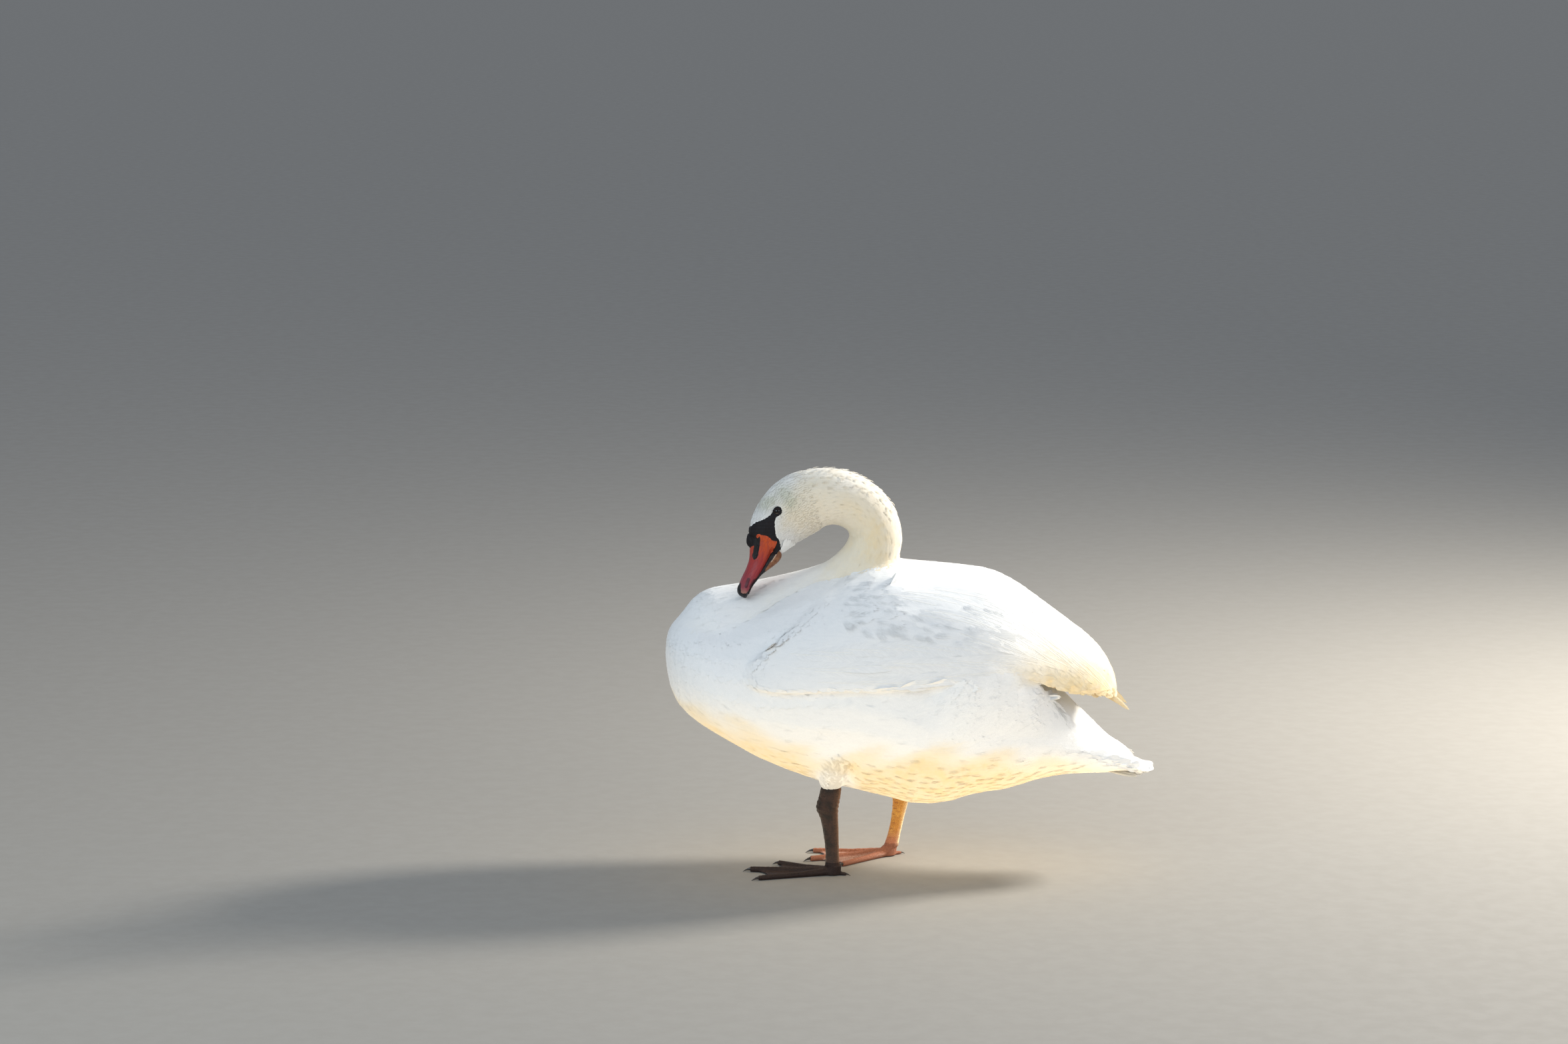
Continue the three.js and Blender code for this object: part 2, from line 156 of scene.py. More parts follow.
def put(mesh, **fields):
    """Stores numbers or vectors on a mesh's points, under their keywords."""
    for name, values in fields.items():
        values = np.asarray(values, np.float32)
        kind, field = ("FLOAT", "value") if values.ndim == 1 else ("FLOAT_VECTOR", "vector")
        mesh.attributes.new(name, kind, "POINT").data.foreach_set(field, values.ravel())


def point_tree(points):
    tree = KDTree(len(points))
    for index, point in enumerate(points.tolist()):
        tree.insert(point, index)
    tree.balance()
    return tree


def circle(count):
    """Angles once around, in radians."""
    return np.linspace(0, 2 * math.pi, count, endpoint=False)


def grid(*parts):
    """Points from their coordinates, each a number or an array over the same grid."""
    return np.stack(np.broadcast_arrays(*parts), -1)


def grid_quads(rows, cols, closed=False):
    """Quads between a grid's rows, which close around, and to the first row again if closed."""
    row, col = np.meshgrid(np.arange(rows if closed else rows - 1), np.arange(cols), indexing="ij")
    row, col = row.ravel(), col.ravel()
    a, b = row * cols, (row + 1) % rows * cols
    after = (col + 1) % cols
    return np.stack([a + col, a + after, b + after, b + col], 1)


def segment_distance(points, a, b):
    """How far points are from the line between a and b."""
    a, b = np.asarray(a, float), np.asarray(b, float)
    along = np.clip(((points - a) @ (b - a)) / ((b - a) @ (b - a)), 0, 1)
    return np.linalg.norm(points - a - along[:, None] * (b - a), axis=1)


def outline_distance(points, outline):
    """How far 2-D points are from a closed outline, negative inside."""
    outline = np.asarray(outline, float)
    best = np.full(len(points), np.inf)
    inside = np.zeros(len(points), bool)
    for a, b in zip(outline, np.roll(outline, -1, axis=0)):
        best = np.minimum(best, segment_distance(points, a, b))
        spans = (a[1] > points[:, 1]) != (b[1] > points[:, 1])
        cross = a[0] + (points[:, 1] - a[1]) * (b[0] - a[0]) / (b[1] - a[1] + 1e-12)
        inside ^= spans & (points[:, 0] < cross)
    return np.where(inside, -best, best)


def column(table, x, k):
    """Column k of a table at places x of its first column."""
    rows = np.array(table, float)
    return np.interp(x, rows[:, 0], rows[:, k])


# ---- Camera ----
LENS, SENSOR = 100, 36  # mm
CAMERA_AT, CAMERA_TILT = (-0.194, -6.53, 1.65), 80.32


def make_camera():
    data = bpy.data.cameras.new("camera")
    data.lens = LENS
    data.sensor_width = SENSOR
    data.clip_end = 200
    camera = link("camera", data)
    camera.location = CAMERA_AT
    camera.rotation_euler = (math.radians(CAMERA_TILT), 0, 0)
    SCENE.camera = camera


make_camera()

# ---- The bird's lines, as in the CAD: [x, y, z, half depth, half width] along the neck ----
NECK = [
    [-280, 0, 364, 78, 81], [-221, 0, 387, 62, 66], [-145, -1, 415, 52, 54],
    [-101, -2, 438, 47.5, 47], [-68, -4, 474, 43.5, 42], [-55, -6, 508, 41, 38],
    [-57, -8, 531, 40, 37], [-71, -12, 556, 40.5, 36], [-101, -17, 575, 42.5, 36],
    [-135, -23, 579, 45, 36], [-167, -27.5, 569, 49.5, 35], [-191, -31.5, 551.5, 46.5, 32],
    [-209.5, -35.5, 531.5, 39.5, 27.5], [-223, -39.5, 510, 30, 21],
]
SPINE_STATIONS = np.linspace(0, len(NECK) - 1, 400)
SPINE = row_at(NECK, SPINE_STATIONS)
SPINE_WAY = unit(np.gradient(SPINE[:, :3], axis=0))
SPINE_TREE = point_tree(SPINE[:, :3])

# The head's frame is [back from the bill's tip, aside, up to the ridge].
BILL_TIP = np.array([-256.0, -53.0, 429.0])
HEAD_BACK = -unit(np.array([-0.406, -0.16, -0.914]))
HEAD_UP = flat(np.array([-0.914, 0.0, 0.406]), HEAD_BACK)
HEAD_ASIDE = np.cross(HEAD_UP, HEAD_BACK)
HEAD_AXES = np.stack([HEAD_BACK, HEAD_ASIDE, HEAD_UP])
EYE_BACK, EYE_UP, EYE_ASIDE, EYE_RADIUS = 140.8, 6.3, 24.7, 7


def to_head(points_mm):
    """Points as [back, aside, up] from the bill's tip."""
    return (points_mm - BILL_TIP) @ HEAD_AXES.T


def from_head(local):
    return np.asarray(local, float) @ HEAD_AXES + BILL_TIP


# ---- Skin ----
FLESH = ["trunk", "neck_lower", "neck_middle", "neck_upper", "head"]
FLESH += ["thigh_left", "thigh_right", "wing_left", "wing_right", "tail"]
KINDS = np.array([name.split("_")[0] for name in FLESH])
GROWN = 1.0  # mm the flesh solids swell by before they are joined, so the gaps close
VOXEL = 3.4  # mm
# The coat's depth in mm on each kind of flesh.
DEPTHS = {"head": 1.0, "neck": 1.7, "trunk": 1.9, "wing": 1.7, "tail": 1.1, "thigh": 1.8}


def welded(ob, grow):
    """An object's mesh with shared corners, swollen by grow metres, as vertices and triangles."""
    bm = bmesh.new()
    bm.from_mesh(ob.data)
    bmesh.ops.remove_doubles(bm, verts=bm.verts, dist=2e-6)
    bmesh.ops.triangulate(bm, faces=bm.faces)
    bm.normal_update()
    verts = np.array([v.co + v.normal * grow for v in bm.verts])
    faces = np.array([[v.index for v in f.verts] for f in bm.faces])
    bm.free()
    return verts, faces


def joined(names, grow):
    """The nodes' welded meshes in one, and for each triangle the number of its node."""
    verts, faces, part = [], [], []
    offset = 0
    for number, name in enumerate(names):
        v, f = welded(NODES[name], grow)
        verts.append(v)
        faces.append(f + offset)
        part.append(np.full(len(f), number))
        offset += len(v)
    return np.concatenate(verts), np.concatenate(faces), np.concatenate(part)


def relax(co, edges, rounds, share=0.5):
    """Moves each point towards the mean of its neighbours."""
    a, b = edges.T
    count = np.bincount(np.concatenate([a, b]), minlength=len(co))[:, None]
    for _ in range(rounds):
        total = np.zeros_like(co)
        for k in range(co.shape[1]):
            total[:, k] = np.bincount(a, co[b, k], len(co)) + np.bincount(b, co[a, k], len(co))
        co = co + share * (total / np.maximum(count, 1) - co)
    return co


def melted(co, edges, share, rounds):
    """Points moved by a share of the way to where many rounds of relaxing put them."""
    return co + share[:, None] * (relax(co, edges, rounds) - co)


def largest_shell(mesh):
    """Deletes every closed shell but the largest, such as a hollow left between two solids."""
    bm = bmesh.new()
    bm.from_mesh(mesh)
    shell = np.full(len(bm.verts), -1)
    shells = 0
    for start in bm.verts:
        if shell[start.index] >= 0:
            continue
        stack = [start]
        shell[start.index] = shells
        while stack:
            vert = stack.pop()
            for edge in vert.link_edges:
                other = edge.other_vert(vert)
                if shell[other.index] < 0:
                    shell[other.index] = shells
                    stack.append(other)
        shells += 1
    keep = np.argmax(np.bincount(shell))
    stray = [v for v in bm.verts if shell[v.index] != keep]
    bmesh.ops.delete(bm, geom=stray, context="VERTS")
    bm.to_mesh(mesh)
    bm.free()


def plug(side):
    """An egg that closes the crease where the flank's front meets a wing's lower edge."""
    bm = bmesh.new()
    bmesh.ops.create_icosphere(bm, subdivisions=3, radius=1)
    verts = np.array([v.co for v in bm.verts]) * [34, 5, 9.5] + [42, side * 149.5, 308.5]
    faces = np.array([[v.index for v in f.verts] for f in bm.faces])
    bm.free()
    return verts * MM, faces


def one_surface(names, grow_mm, voxel_mm, extras=()):
    """Solid nodes, swollen a little, as one closed surface with even faces: mesh and edges."""
    verts, faces, _ = joined(names, grow_mm * MM)
    for more_verts, more_faces in extras:
        faces = np.concatenate([faces, more_faces + len(verts)])
        verts = np.concatenate([verts, more_verts])
    rough = link("rough", mesh_from("rough", verts, faces))
    remesh = rough.modifiers.new("remesh", "REMESH")
    remesh.mode = "VOXEL"
    remesh.voxel_size = voxel_mm * MM
    graph = bpy.context.evaluated_depsgraph_get()
    mesh = bpy.data.meshes.new_from_object(rough.evaluated_get(graph))
    bpy.data.objects.remove(rough)
    largest_shell(mesh)
    edges = fetch(mesh.edges, "vertices", 2, np.int32)
    move(mesh, relax(coords(mesh), edges, 3))
    return mesh, edges


FOLD = [(-140, 240), (-133, 222), (-126, 206), (-115, 194)]  # [x, z] of the left thigh's fold


def groove(p, kind):
    """How much deeper, in mm, the trunk's skin lies along the front and lower edge of a wing."""
    x, y, z = p.T
    tree = point_tree(p[(kind == "wing") & (z < 395)])
    by_edge = (kind == "trunk") & (x < 300) & (z > 225) & (z < 412) & (np.abs(y) > 60)
    x, _, z = p[by_edge].T
    far = np.array([tree.find(q)[2] for q in p[by_edge].tolist()])
    crest = np.exp(-((np.hypot(x + 214, z - 366) / 24) ** 2))
    strength = (0.2 + 1.5 * smooth(z, 335, 300) + 2.8 * crest) * (1 - smooth(x, -70, 20))
    out = np.zeros(len(p))
    out[by_edge] = strength * (1 - smooth(far, 3, 12))
    return out


def crease(p):
    """How much deeper, in mm, the skin lies along the fold in front of each thigh."""
    x, y, z = p.T
    right = y > 0
    place = np.stack([x - 114 * right, z + 19 * right], 1)
    far = np.min([segment_distance(place, a, b) for a, b in zip(FOLD[:-1], FOLD[1:])], axis=0)
    return 3.0 * np.exp(-((far / 4.5) ** 2)) * smooth(np.abs(y), 50, 70)


def thigh_rim(y):
    """The x and z of the top of the thigh on each y's side."""
    return np.where(y < 0, -118, -8), np.where(y < 0, 202, 183)


def melt_thighs(co, edges):
    """Rounds each thigh's upper rim into the flank."""
    x, y, z = (co / MM).T
    hip, top = thigh_rim(y)
    far = np.hypot(x - hip, 1.3 * (z - top))
    return melted(co, edges, smooth(far, 46, 22) * smooth(np.abs(y), 38, 50), 50)


def melt_breast(co, edges):
    """Rounds the corner where the neck's root leaves the top of the breast."""
    x, _, z = (co / MM).T
    root = smooth(np.hypot(x + 312, z - 440), 62, 20)
    corner = smooth(np.hypot(x + 350, z - 398), 46, 14)
    return melted(co, edges, np.maximum(root, corner), 90)


RUMP_TOP = [[192, 288], [216, 280], [240, 252], [264, 233], [288, 214]]  # [x, z]


def dome_rump(co, edges, kind):
    """Rounds the flat top of the trunk behind the flanks into a low dome."""
    x, y, z = (co / MM).T
    below = column(RUMP_TOP, x, 1) - z
    window = (kind == "trunk") * smooth(x, 188, 214) * smooth(x, 300, 268)
    rise = 10 * window * smooth(below, 22, 6) * np.clip(1 - (y / 96) ** 2, 0, 1)
    return melted(co + grid(0, 0, rise) * MM, edges, window * smooth(below, 44, 26), 90)


def make_skin():
    """The skin's mesh, and at each of its points the kind of flesh and the coat's depth in mm."""
    mesh, edges = one_surface(FLESH, GROWN, VOXEL, [plug(-1), plug(1)])
    co = coords(mesh)
    verts, faces, part = joined(FLESH, 0)
    tree = BVHTree.FromPolygons(verts.tolist(), faces.tolist())
    kind = KINDS[part[[tree.find_nearest(p)[2] for p in co.tolist()]]]
    depth = np.array([DEPTHS[k] for k in kind])
    depth = depth - 1.2 * (kind == "wing") * smooth(co[:, 0] / MM, 240, 300)
    depth = relax(depth[:, None], edges, 6)[:, 0] + groove(co / MM, kind)
    s, _, u = to_head(co / MM).T
    bare = (kind == "head") * smooth(s, 103, 99) * smooth(u, -24, -18)
    sunk = depth + GROWN + crease(co / MM) + 1.5 * bare
    co = co - vertex_normals(mesh) * (sunk * MM)[:, None]
    co = melt_breast(melt_thighs(relax(co, edges, 1), edges), edges)
    move(mesh, dome_rump(co, edges, kind))
    mesh.name = "skin"
    return mesh, kind, depth


skin_mesh, SKIN_KIND, SKIN_DEPTH = make_skin()


class Surface:
    """The skin's triangles and normals, for placing feathers on."""

    def __init__(self, mesh):
        mesh.calc_loop_triangles()
        self.tris = fetch(mesh.loop_triangles, "vertices", 3, np.int32)
        self.co = coords(mesh)
        self.normals = vertex_normals(mesh)
        self.tree = BVHTree.FromPolygons(self.co.tolist(), self.tris.tolist())
        self.face_normals = unit(self.normals[self.tris].sum(axis=1))
        a, b, c = (self.co[self.tris[:, k]] for k in range(3))
        self.areas = np.linalg.norm(np.cross(b - a, c - a), axis=1) / 2

    def scatter(self, count, weight):
        """Random points on triangles, by area times weight: places, normals, triangles."""
        share = self.areas * weight
        pick = RNG.choice(len(share), count, p=share / share.sum())
        u, v = RNG.random((2, count, 1))
        over = u + v > 1
        u, v = np.where(over, 1 - u, u), np.where(over, 1 - v, v)
        a, b, c = (self.tris[pick, k] for k in range(3))
        places = self.co[a] * (1 - u - v) + self.co[b] * u + self.co[c] * v
        normals = unit(self.normals[a] * (1 - u - v) + self.normals[b] * u + self.normals[c] * v)
        return places, normals, pick

    def nearest(self, places):
        """The skin's nearest points to places, its normals there and how far they are."""
        where, _, which, far = zip(*(self.tree.find_nearest(p) for p in places.tolist()))
        return np.array(where), self.face_normals[list(which)], np.array(far)


SURFACE = Surface(skin_mesh)


# ---- Lie of the coat ----
def spine_nearest(p):
    """The nearest station of the neck's line to points in mm, its place and its way."""
    found = np.array([SPINE_TREE.find(q)[1] for q in p.tolist()])
    return SPINE_STATIONS[found], SPINE[found, :3], SPINE_WAY[found]


def around_neck(p):
    """Points' nearest station, how far outside the neck's bend they are, and their turn on it."""
    station, centre, way = spine_nearest(p)
    out = unit(np.cross(np.array([0.0, 1.0, 0.0]), way))
    offset = p - centre
    outward = np.sum(unit(offset) * out, axis=1)
    return station, outward, np.arctan2(offset[:, 1], np.sum(offset * out, 1))


BREAST = np.array([-232.0, 0.0, 392.0])  # the point the breast feathers run away from
# How steeply the wing's feathers lie low on it and along its top: the places x, the rises to 1.
WING_LOW_SLOPE = [-251, -180, -60, 60, 120, 200, 313], [0.1, -0.05, 0, 0.06, -0.1, -0.4, -0.75]
WING_TOP_SLOPE = [-251, 0, 80, 160, 313], [-0.1, -0.12, -0.3, -0.62, -1.2]


def on_flank(p):
    """1 on the flank that rises over the wing's lower edge, 0 away from it."""
    x, _, z = p.T
    return smooth(x, -15, 45) * smooth(x, 260, 215) * smooth(z, 190, 235) * smooth(z, 350, 325)


def by_thigh(p):
    """1 on the feathered thighs, 0 away from them."""
    x, y, z = p.T
    hip, top = thigh_rim(y)
    return smooth(np.abs(x - hip), 42, 18) * smooth(z - top, 24, -18) * smooth(np.abs(y), 35, 50)


def flow_at(p, n, kind):
    """The way the feathers lie at points in mm with normals n, on one kind of flesh."""
    x, y, z = p.T
    if kind in ("neck", "head"):
        flow = -spine_nearest(p)[2]
    elif kind == "wing":
        low = np.interp(x, *WING_LOW_SLOPE)
        top = np.interp(x, *WING_TOP_SLOPE)
        share = smooth(z, 330, 440)
        flow = grid(1, 0, low * (1 - share) + top * share)
    elif kind == "tail":
        flow = grid(1, 0.3 * y / 48, -0.06)
    else:
        away = (p - BREAST) * (1 - smooth(x, -250, -90))[:, None]
        pull = 50 + 260 * smooth(x, -340, -120)
        droop = -0.1 - 0.1 * smooth(z, 300, 160) * smooth(x, -100, 100)
        droop = droop + 0.55 * on_flank(p) * smooth(x, 200, 120) * smooth(z, 325, 290)
        flow = unit(away + pull[:, None] * grid(1, 0.05 * np.sign(y), droop))
        share = by_thigh(p)[:, None]
        flow = (1 - share) * flow + share * np.array([0.12, 0.0, -1.0])
    return flat(flow, n)


class Vane:
    """A feather's closed outline. Each corner has a share of the half width, a share of the
    length and a share of the ridge's rise, and takes its place from the station before it."""

    def __init__(self, stations, corners, top, under, ridge):
        self.along = np.asarray(stations, float)
        self.verts = np.array(corners, float)
        self.station = np.searchsorted(self.along, self.verts[:, 1] + 1e-6, "right") - 1
        self.faces = np.array(top + under)
        self.is_top = np.array([True] * len(top) + [False] * len(under))
        self.ridge = ridge


def blade(along, wide, ridge=0.12):
    """A vane with a pointed or rounded tip: left, ridge and right corners at each station."""
    corners = [(0.0, along[0], 0.0)]
    for v, w in zip(along[1:-1], wide[1:-1]):
        corners += [(-w, v, 0.0), (0.0, v, 1.0), (w, v, 0.0)]
    corners.append((0.0, along[-1], 0.0))
    tip = len(corners) - 1
    top, under = [(0, 2, 1), (0, 3, 2)], [(0, 1, 3)]
    for a in range(1, tip - 3, 3):
        left, mid, right = a, a + 1, a + 2
        for p, q in ((left, mid), (mid, right)):
            top += [(p, q, q + 3), (p, q + 3, p + 3)]
        under += [(left, left + 3, right + 3), (left, right + 3, right)]
    a = tip - 3
    top += [(a, a + 1, tip), (a + 1, a + 2, tip)]
    under.append((a + 2, a, tip))
    return Vane(along, corners, top, under, ridge)


def fringed():
    """A soft contour feather whose end is split into four locks, each with its own rise."""
    corners = [(0, 0, 0), (-0.7, 0.28, 0), (0, 0.28, 1), (0.7, 0.28, 0)]
    corners += [(-1.0, 0.70, 0), (-0.52, 0.86, 0.4), (0, 0.90, 0.8), (0.5, 0.85, 0.4)]
    corners += [(1.0, 0.68, 0)]
    corners += [(-0.74, 0.91, 0), (-0.27, 1.0, 0), (0.25, 0.98, 0), (0.72, 0.89, 0)]
    corners += [(-0.76, 0.83, 0.5), (-0.27, 0.92, 0.9), (0.25, 0.91, 0.9), (0.74, 0.81, 0.5)]
    top = [(0, 2, 1), (0, 3, 2), (1, 2, 5), (1, 5, 4), (2, 6, 5), (2, 3, 7), (3, 8, 7), (2, 7, 6)]
    under = [(0, 1, 3), (1, 4, 8), (1, 8, 3), (4, 5, 8), (5, 7, 8), (5, 6, 7)]
    for k in range(4):
        left, right, tip, crown = 4 + k, 5 + k, 9 + k, 13 + k
        top += [(left, right, crown), (right, tip, crown), (tip, left, crown)]
        under.append((right, left, tip))
    return Vane([0, 0.14, 0.28, 0.66, 1.0], corners, top, under, 0.10)


def tuft(ends):
    """A small bundle of barbs from one root. ends holds each barb's (side, reach)."""
    corners, top, under = [], [], []
    for side, reach in ends:
        a = len(corners)
        corners.append((0.25 * side, 0.0, 0.0))
        for v, w in ((0.42, 0.13), (0.78, 0.0936)):
            middle = side * (0.35 + 0.65 * v)
            v = v * reach
            corners += [(middle - w, v, 0.0), (middle, v, 1.0), (middle + w, v, 0.0)]
        corners.append((side, reach, 0.0))
        above = [(0, 2, 1), (0, 3, 2), (1, 2, 5), (1, 5, 4), (2, 3, 6), (2, 6, 5), (4, 5, 7)]
        above += [(5, 6, 7)]
        below = [(0, 1, 3), (1, 4, 6), (1, 6, 3), (6, 4, 7)]
        for faces, given in ((top, above), (under, below)):
            faces += [(a + p, a + q, a + r) for p, q, r in given]
    return Vane([0, 0.3, 0.55, 0.8, 1.0], corners, top, under, 0.10)


CONTOUR = fringed()
TUFT = tuft([(-0.9, 0.86), (-0.25, 1.0), (0.4, 0.93), (1.0, 0.80)])
WISP = blade([0, 0.25, 0.6, 1], [0, 1, 0.62, 0])
COVERT = blade([0, 0.12, 0.34, 0.6, 0.8, 0.93, 1], [0, 0.5, 0.88, 1, 0.86, 0.5, 0])
QUILL = blade(
    [0, 0.05, 0.15, 0.28, 0.42, 0.56, 0.7, 0.8, 0.88, 0.94, 0.98, 1],
    [0, 0.35, 0.66, 0.86, 0.96, 1, 0.97, 0.88, 0.72, 0.5, 0.28, 0],
    0.05,
)
# How alike the skin's normals must stay for a feather to keep to it, by the kind of flesh.
HOLD = {"wing": 0.72, "tail": 0.6, "thigh": 0.5, "trunk": 0.55, "neck": 0.4, "head": 0.4}
PATCH = 0.0015  # half the side of a feather's own square in the UV map
LEG_ASIDE = 61  # distance of each leg from the midline


def march(roots, normals, ways, length, stations, hold):
    """Walks each feather's middle line over the skin, or straight on past a free edge.

    Returns the points on the skin at each station, their normals, the way there, and whether
    the line is still on the skin.
    """
    centre, n, way = roots.copy(), normals.copy(), ways.copy()
    rows = [(centre, n, way, np.ones(len(roots), bool))]
    for step in np.diff(stations):
        reach = (step * length * MM)[:, None]
        ahead = centre + way * reach
        where, face_n, far = SURFACE.nearest(ahead)
        held = (dot(face_n, n)[:, 0] > hold) & (far < 0.6 * reach[:, 0] + 0.001)
        centre = np.where(held[:, None], where, ahead)
        n = np.where(held[:, None], unit(0.35 * n + 0.65 * face_n), n)
        way = flat(way, n)
        rows.append((centre, n, way, rows[-1][3] & held))
    return [np.stack([row[k] for row in rows], 1) for k in range(4)]


def room(roots, normals, ways, length, hold):
    """The share of its length that each feather has before a free edge or a crease."""
    stations = np.linspace(0, 1.12, 9)
    kept = march(roots, normals, ways, length, stations, hold)[3]
    return stations[kept.sum(axis=1) - 1]


def grow(vane, roots, normals, ways, size, hold, wrap=False):
    """Builds feathers as arrays. size holds arrays in mm: length, width, low, high, camber.
    A wrapped vane's edges bend down onto the skin too."""
    length, width = size["length"], size["width"]
    centres, n, way, _ = march(roots, normals, ways, length, vane.along, hold)
    climb = smooth(vane.along, 0, 0.16) * (0.86 + 0.14 * np.sin(2.6 * np.minimum(vane.along, 0.6)))
    climb = climb - size["tuck"][:, None] * smooth(vane.along, 0.6, 1.0)
    rise = size["low"][:, None] + (size["high"] - size["low"])[:, None] * climb
    rise = rise + size["curl"][:, None] * vane.along**3
    centres = centres + n * (rise * MM)[..., None]
    across = np.cross(way, n)
    k = vane.station
    u, v, ridge = vane.verts.T
    past = (v - vane.along[k]) * length[:, None] * MM
    drop = -size["camber"][:, None] * width[:, None] * u**2
    drop = drop + ridge * vane.ridge * width[:, None] * np.sin(np.pi * np.clip(v, 0.08, 0.92))
    drop = drop + size["twist"][:, None] * u * width[:, None] * 0.5
    shift = u * (1 + size["fray"][:, None] * (RNG.random((len(length), len(u))) - 0.5))
    beside = centres[:, k] + way[:, k] * past[..., None]
    beside = beside + across[:, k] * (shift * width[:, None] * 0.5 * MM)[..., None]
    if wrap:
        flat_beside = (beside - n[:, k] * (rise[:, k] * MM)[..., None]).reshape(-1, 3)
        where, face_n, far = SURFACE.nearest(flat_beside)
        near = (far < 0.006) & (dot(face_n, n[:, k].reshape(-1, 3))[:, 0] > 0.65)
        where = np.where(near[:, None], where, flat_beside).reshape(beside.shape)
        beside = where + n[:, k] * (rise[:, k] * MM)[..., None]
    return beside + n[:, k] * (drop * MM)[..., None], n[:, k]


def coat(name, kind, batches, unwrap, material, soft=0.5):
    """A piece of many feathers on one kind of flesh, in batches of (vane, places, normals, roots,
    tone). Their shading turns from their own faces' normals to the skin's by the share soft."""
    verts, faces, shade, top, plume, uv = [], [], [], [], [], []
    offset = 0
    for vane, places, normals, roots, tone in batches:
        count, per = places.shape[:2]
        verts.append(places.reshape(-1, 3))
        shade.append(normals.reshape(-1, 3))
        faces.append((np.arange(count)[:, None, None] * per + vane.faces + offset).reshape(-1, 3))
        top.append(np.tile(vane.is_top, count))
        across, along, _ = vane.verts.T
        plume.append(grid(across, along, tone[:, None]).reshape(-1, 3))
        patch = PATCH * grid(across, 2 * along - 1)
        uv.append((unwrap(roots)[:, None, :] + patch).reshape(-1, 2))
        offset += count * per
    arrays = (verts, faces, shade, top, plume, uv)
    verts, faces, shade, top, plume, uv = map(np.concatenate, arrays)
    mesh = mesh_from(name, verts, faces)
    put(mesh, plume=plume)
    layer = mesh.uv_layers.new(name="OFBake")
    layer.data.foreach_set("uv", uv[faces.ravel()].astype(np.float32).ravel())
    a, b, c = (verts[faces[:, k]] for k in range(3))
    facing = np.cross(b - a, c - a)
    own = np.zeros_like(verts)
    for k in range(3):
        for axis in range(3):
            own[:, axis] += np.bincount(faces[top, k], facing[top, axis], minlength=len(verts))
    corner = unit((1 - soft) * unit(own) + soft * shade)[faces.ravel()]
    corner[np.repeat(~top, 3)] *= -1
    mesh.normals_split_custom_set(corner.tolist())
    put_tints(mesh, coords(mesh) / MM, np.full(len(verts), kind))
    ob = link(name, mesh, [material])
    declare(ob, "plumage")
    return ob


# ---- Node materials ----
class Nodes:
    """Short calls for building a material's node tree."""

    def __init__(self, name):
        self.material = bpy.data.materials.new(name)
        self.material.use_nodes = True
        self.tree = self.material.node_tree
        self.tree.nodes.clear()
        self.shader = self.add("ShaderNodeBsdfPrincipled")
        out = self.add("ShaderNodeOutputMaterial")
        self.tree.links.new(self.shader.outputs["BSDF"], out.inputs["Surface"])
        self.place = self.add("ShaderNodeTexCoord").outputs["Object"]

    def add(self, kind, **settings):
        node = self.tree.nodes.new(kind)
        for key, value in settings.items():
            setattr(node, key, value)
        return node

    def feed(self, socket, value):
        if isinstance(value, bpy.types.NodeSocket):
            self.tree.links.new(value, socket)
        else:
            socket.default_value = value

    def math(self, operation, a, b=0.0, clamp=False):
        node = self.add("ShaderNodeMath", operation=operation, use_clamp=clamp)
        self.feed(node.inputs[0], a)
        self.feed(node.inputs[1], b)
        return node.outputs[0]

    def plus(self, a, b, clamp=False):
        return self.math("ADD", a, b, clamp)

    def times(self, a, b):
        return self.math("MULTIPLY", a, b)

    def ramp(self, value, low, high, to_low=0.0, to_high=1.0):
        """A smooth step of a value from low to high, remapped to to_low and to_high."""
        node = self.add("ShaderNodeMapRange", interpolation_type="SMOOTHSTEP")
        for socket, given in zip(node.inputs[:5], (value, low, high, to_low, to_high)):
            self.feed(socket, given)
        return node.outputs[0]

    def mix(self, share, a, b):
        node = self.add("ShaderNodeMix", data_type="RGBA")
        self.feed(node.inputs["Factor"], share)
        for socket, value in ((node.inputs[6], a), (node.inputs[7], b)):
            if isinstance(value, tuple) and len(value) == 3:
                value = (*value, 1)
            self.feed(socket, value)
        return node.outputs[2]

    def noise(self, scale, detail=3.0, vector=None, rough=0.55):
        node = self.add("ShaderNodeTexNoise")
        self.feed(node.inputs["Vector"], vector or self.place)
        node.inputs["Scale"].default_value = scale
        node.inputs["Detail"].default_value = detail
        node.inputs["Roughness"].default_value = rough
        return node.outputs["Fac"]

    def number(self, name):
        return self.add("ShaderNodeAttribute", attribute_name=name).outputs["Fac"]

    def vector(self, name):
        return self.add("ShaderNodeAttribute", attribute_name=name).outputs["Vector"]

    def voronoi(self, feature, scale, vector):
        node = self.add("ShaderNodeTexVoronoi", feature=feature)
        self.feed(node.inputs["Vector"], vector)
        node.inputs["Scale"].default_value = scale
        return node.outputs["Distance"]

    def split(self, vector):
        node = self.add("ShaderNodeSeparateXYZ")
        self.feed(node.inputs[0], vector)
        return node.outputs

    def stretched(self, scale, vector=None):
        node = self.add("ShaderNodeMapping")
        self.feed(node.inputs["Vector"], vector or self.place)
        node.inputs["Scale"].default_value = scale
        return node.outputs[0]

    def bump(self, height, strength, distance):
        node = self.add("ShaderNodeBump")
        self.feed(node.inputs["Height"], height)
        node.inputs["Strength"].default_value = strength
        node.inputs["Distance"].default_value = distance
        self.feed(self.shader.inputs["Normal"], node.outputs[0])

    def finish(self, color, roughness, **fixed):
        self.feed(self.shader.inputs["Base Color"], color)
        self.feed(self.shader.inputs["Roughness"], roughness)
        for name, value in fixed.items():
            self.shader.inputs[name.replace("_", " ")].default_value = value
        return self.material


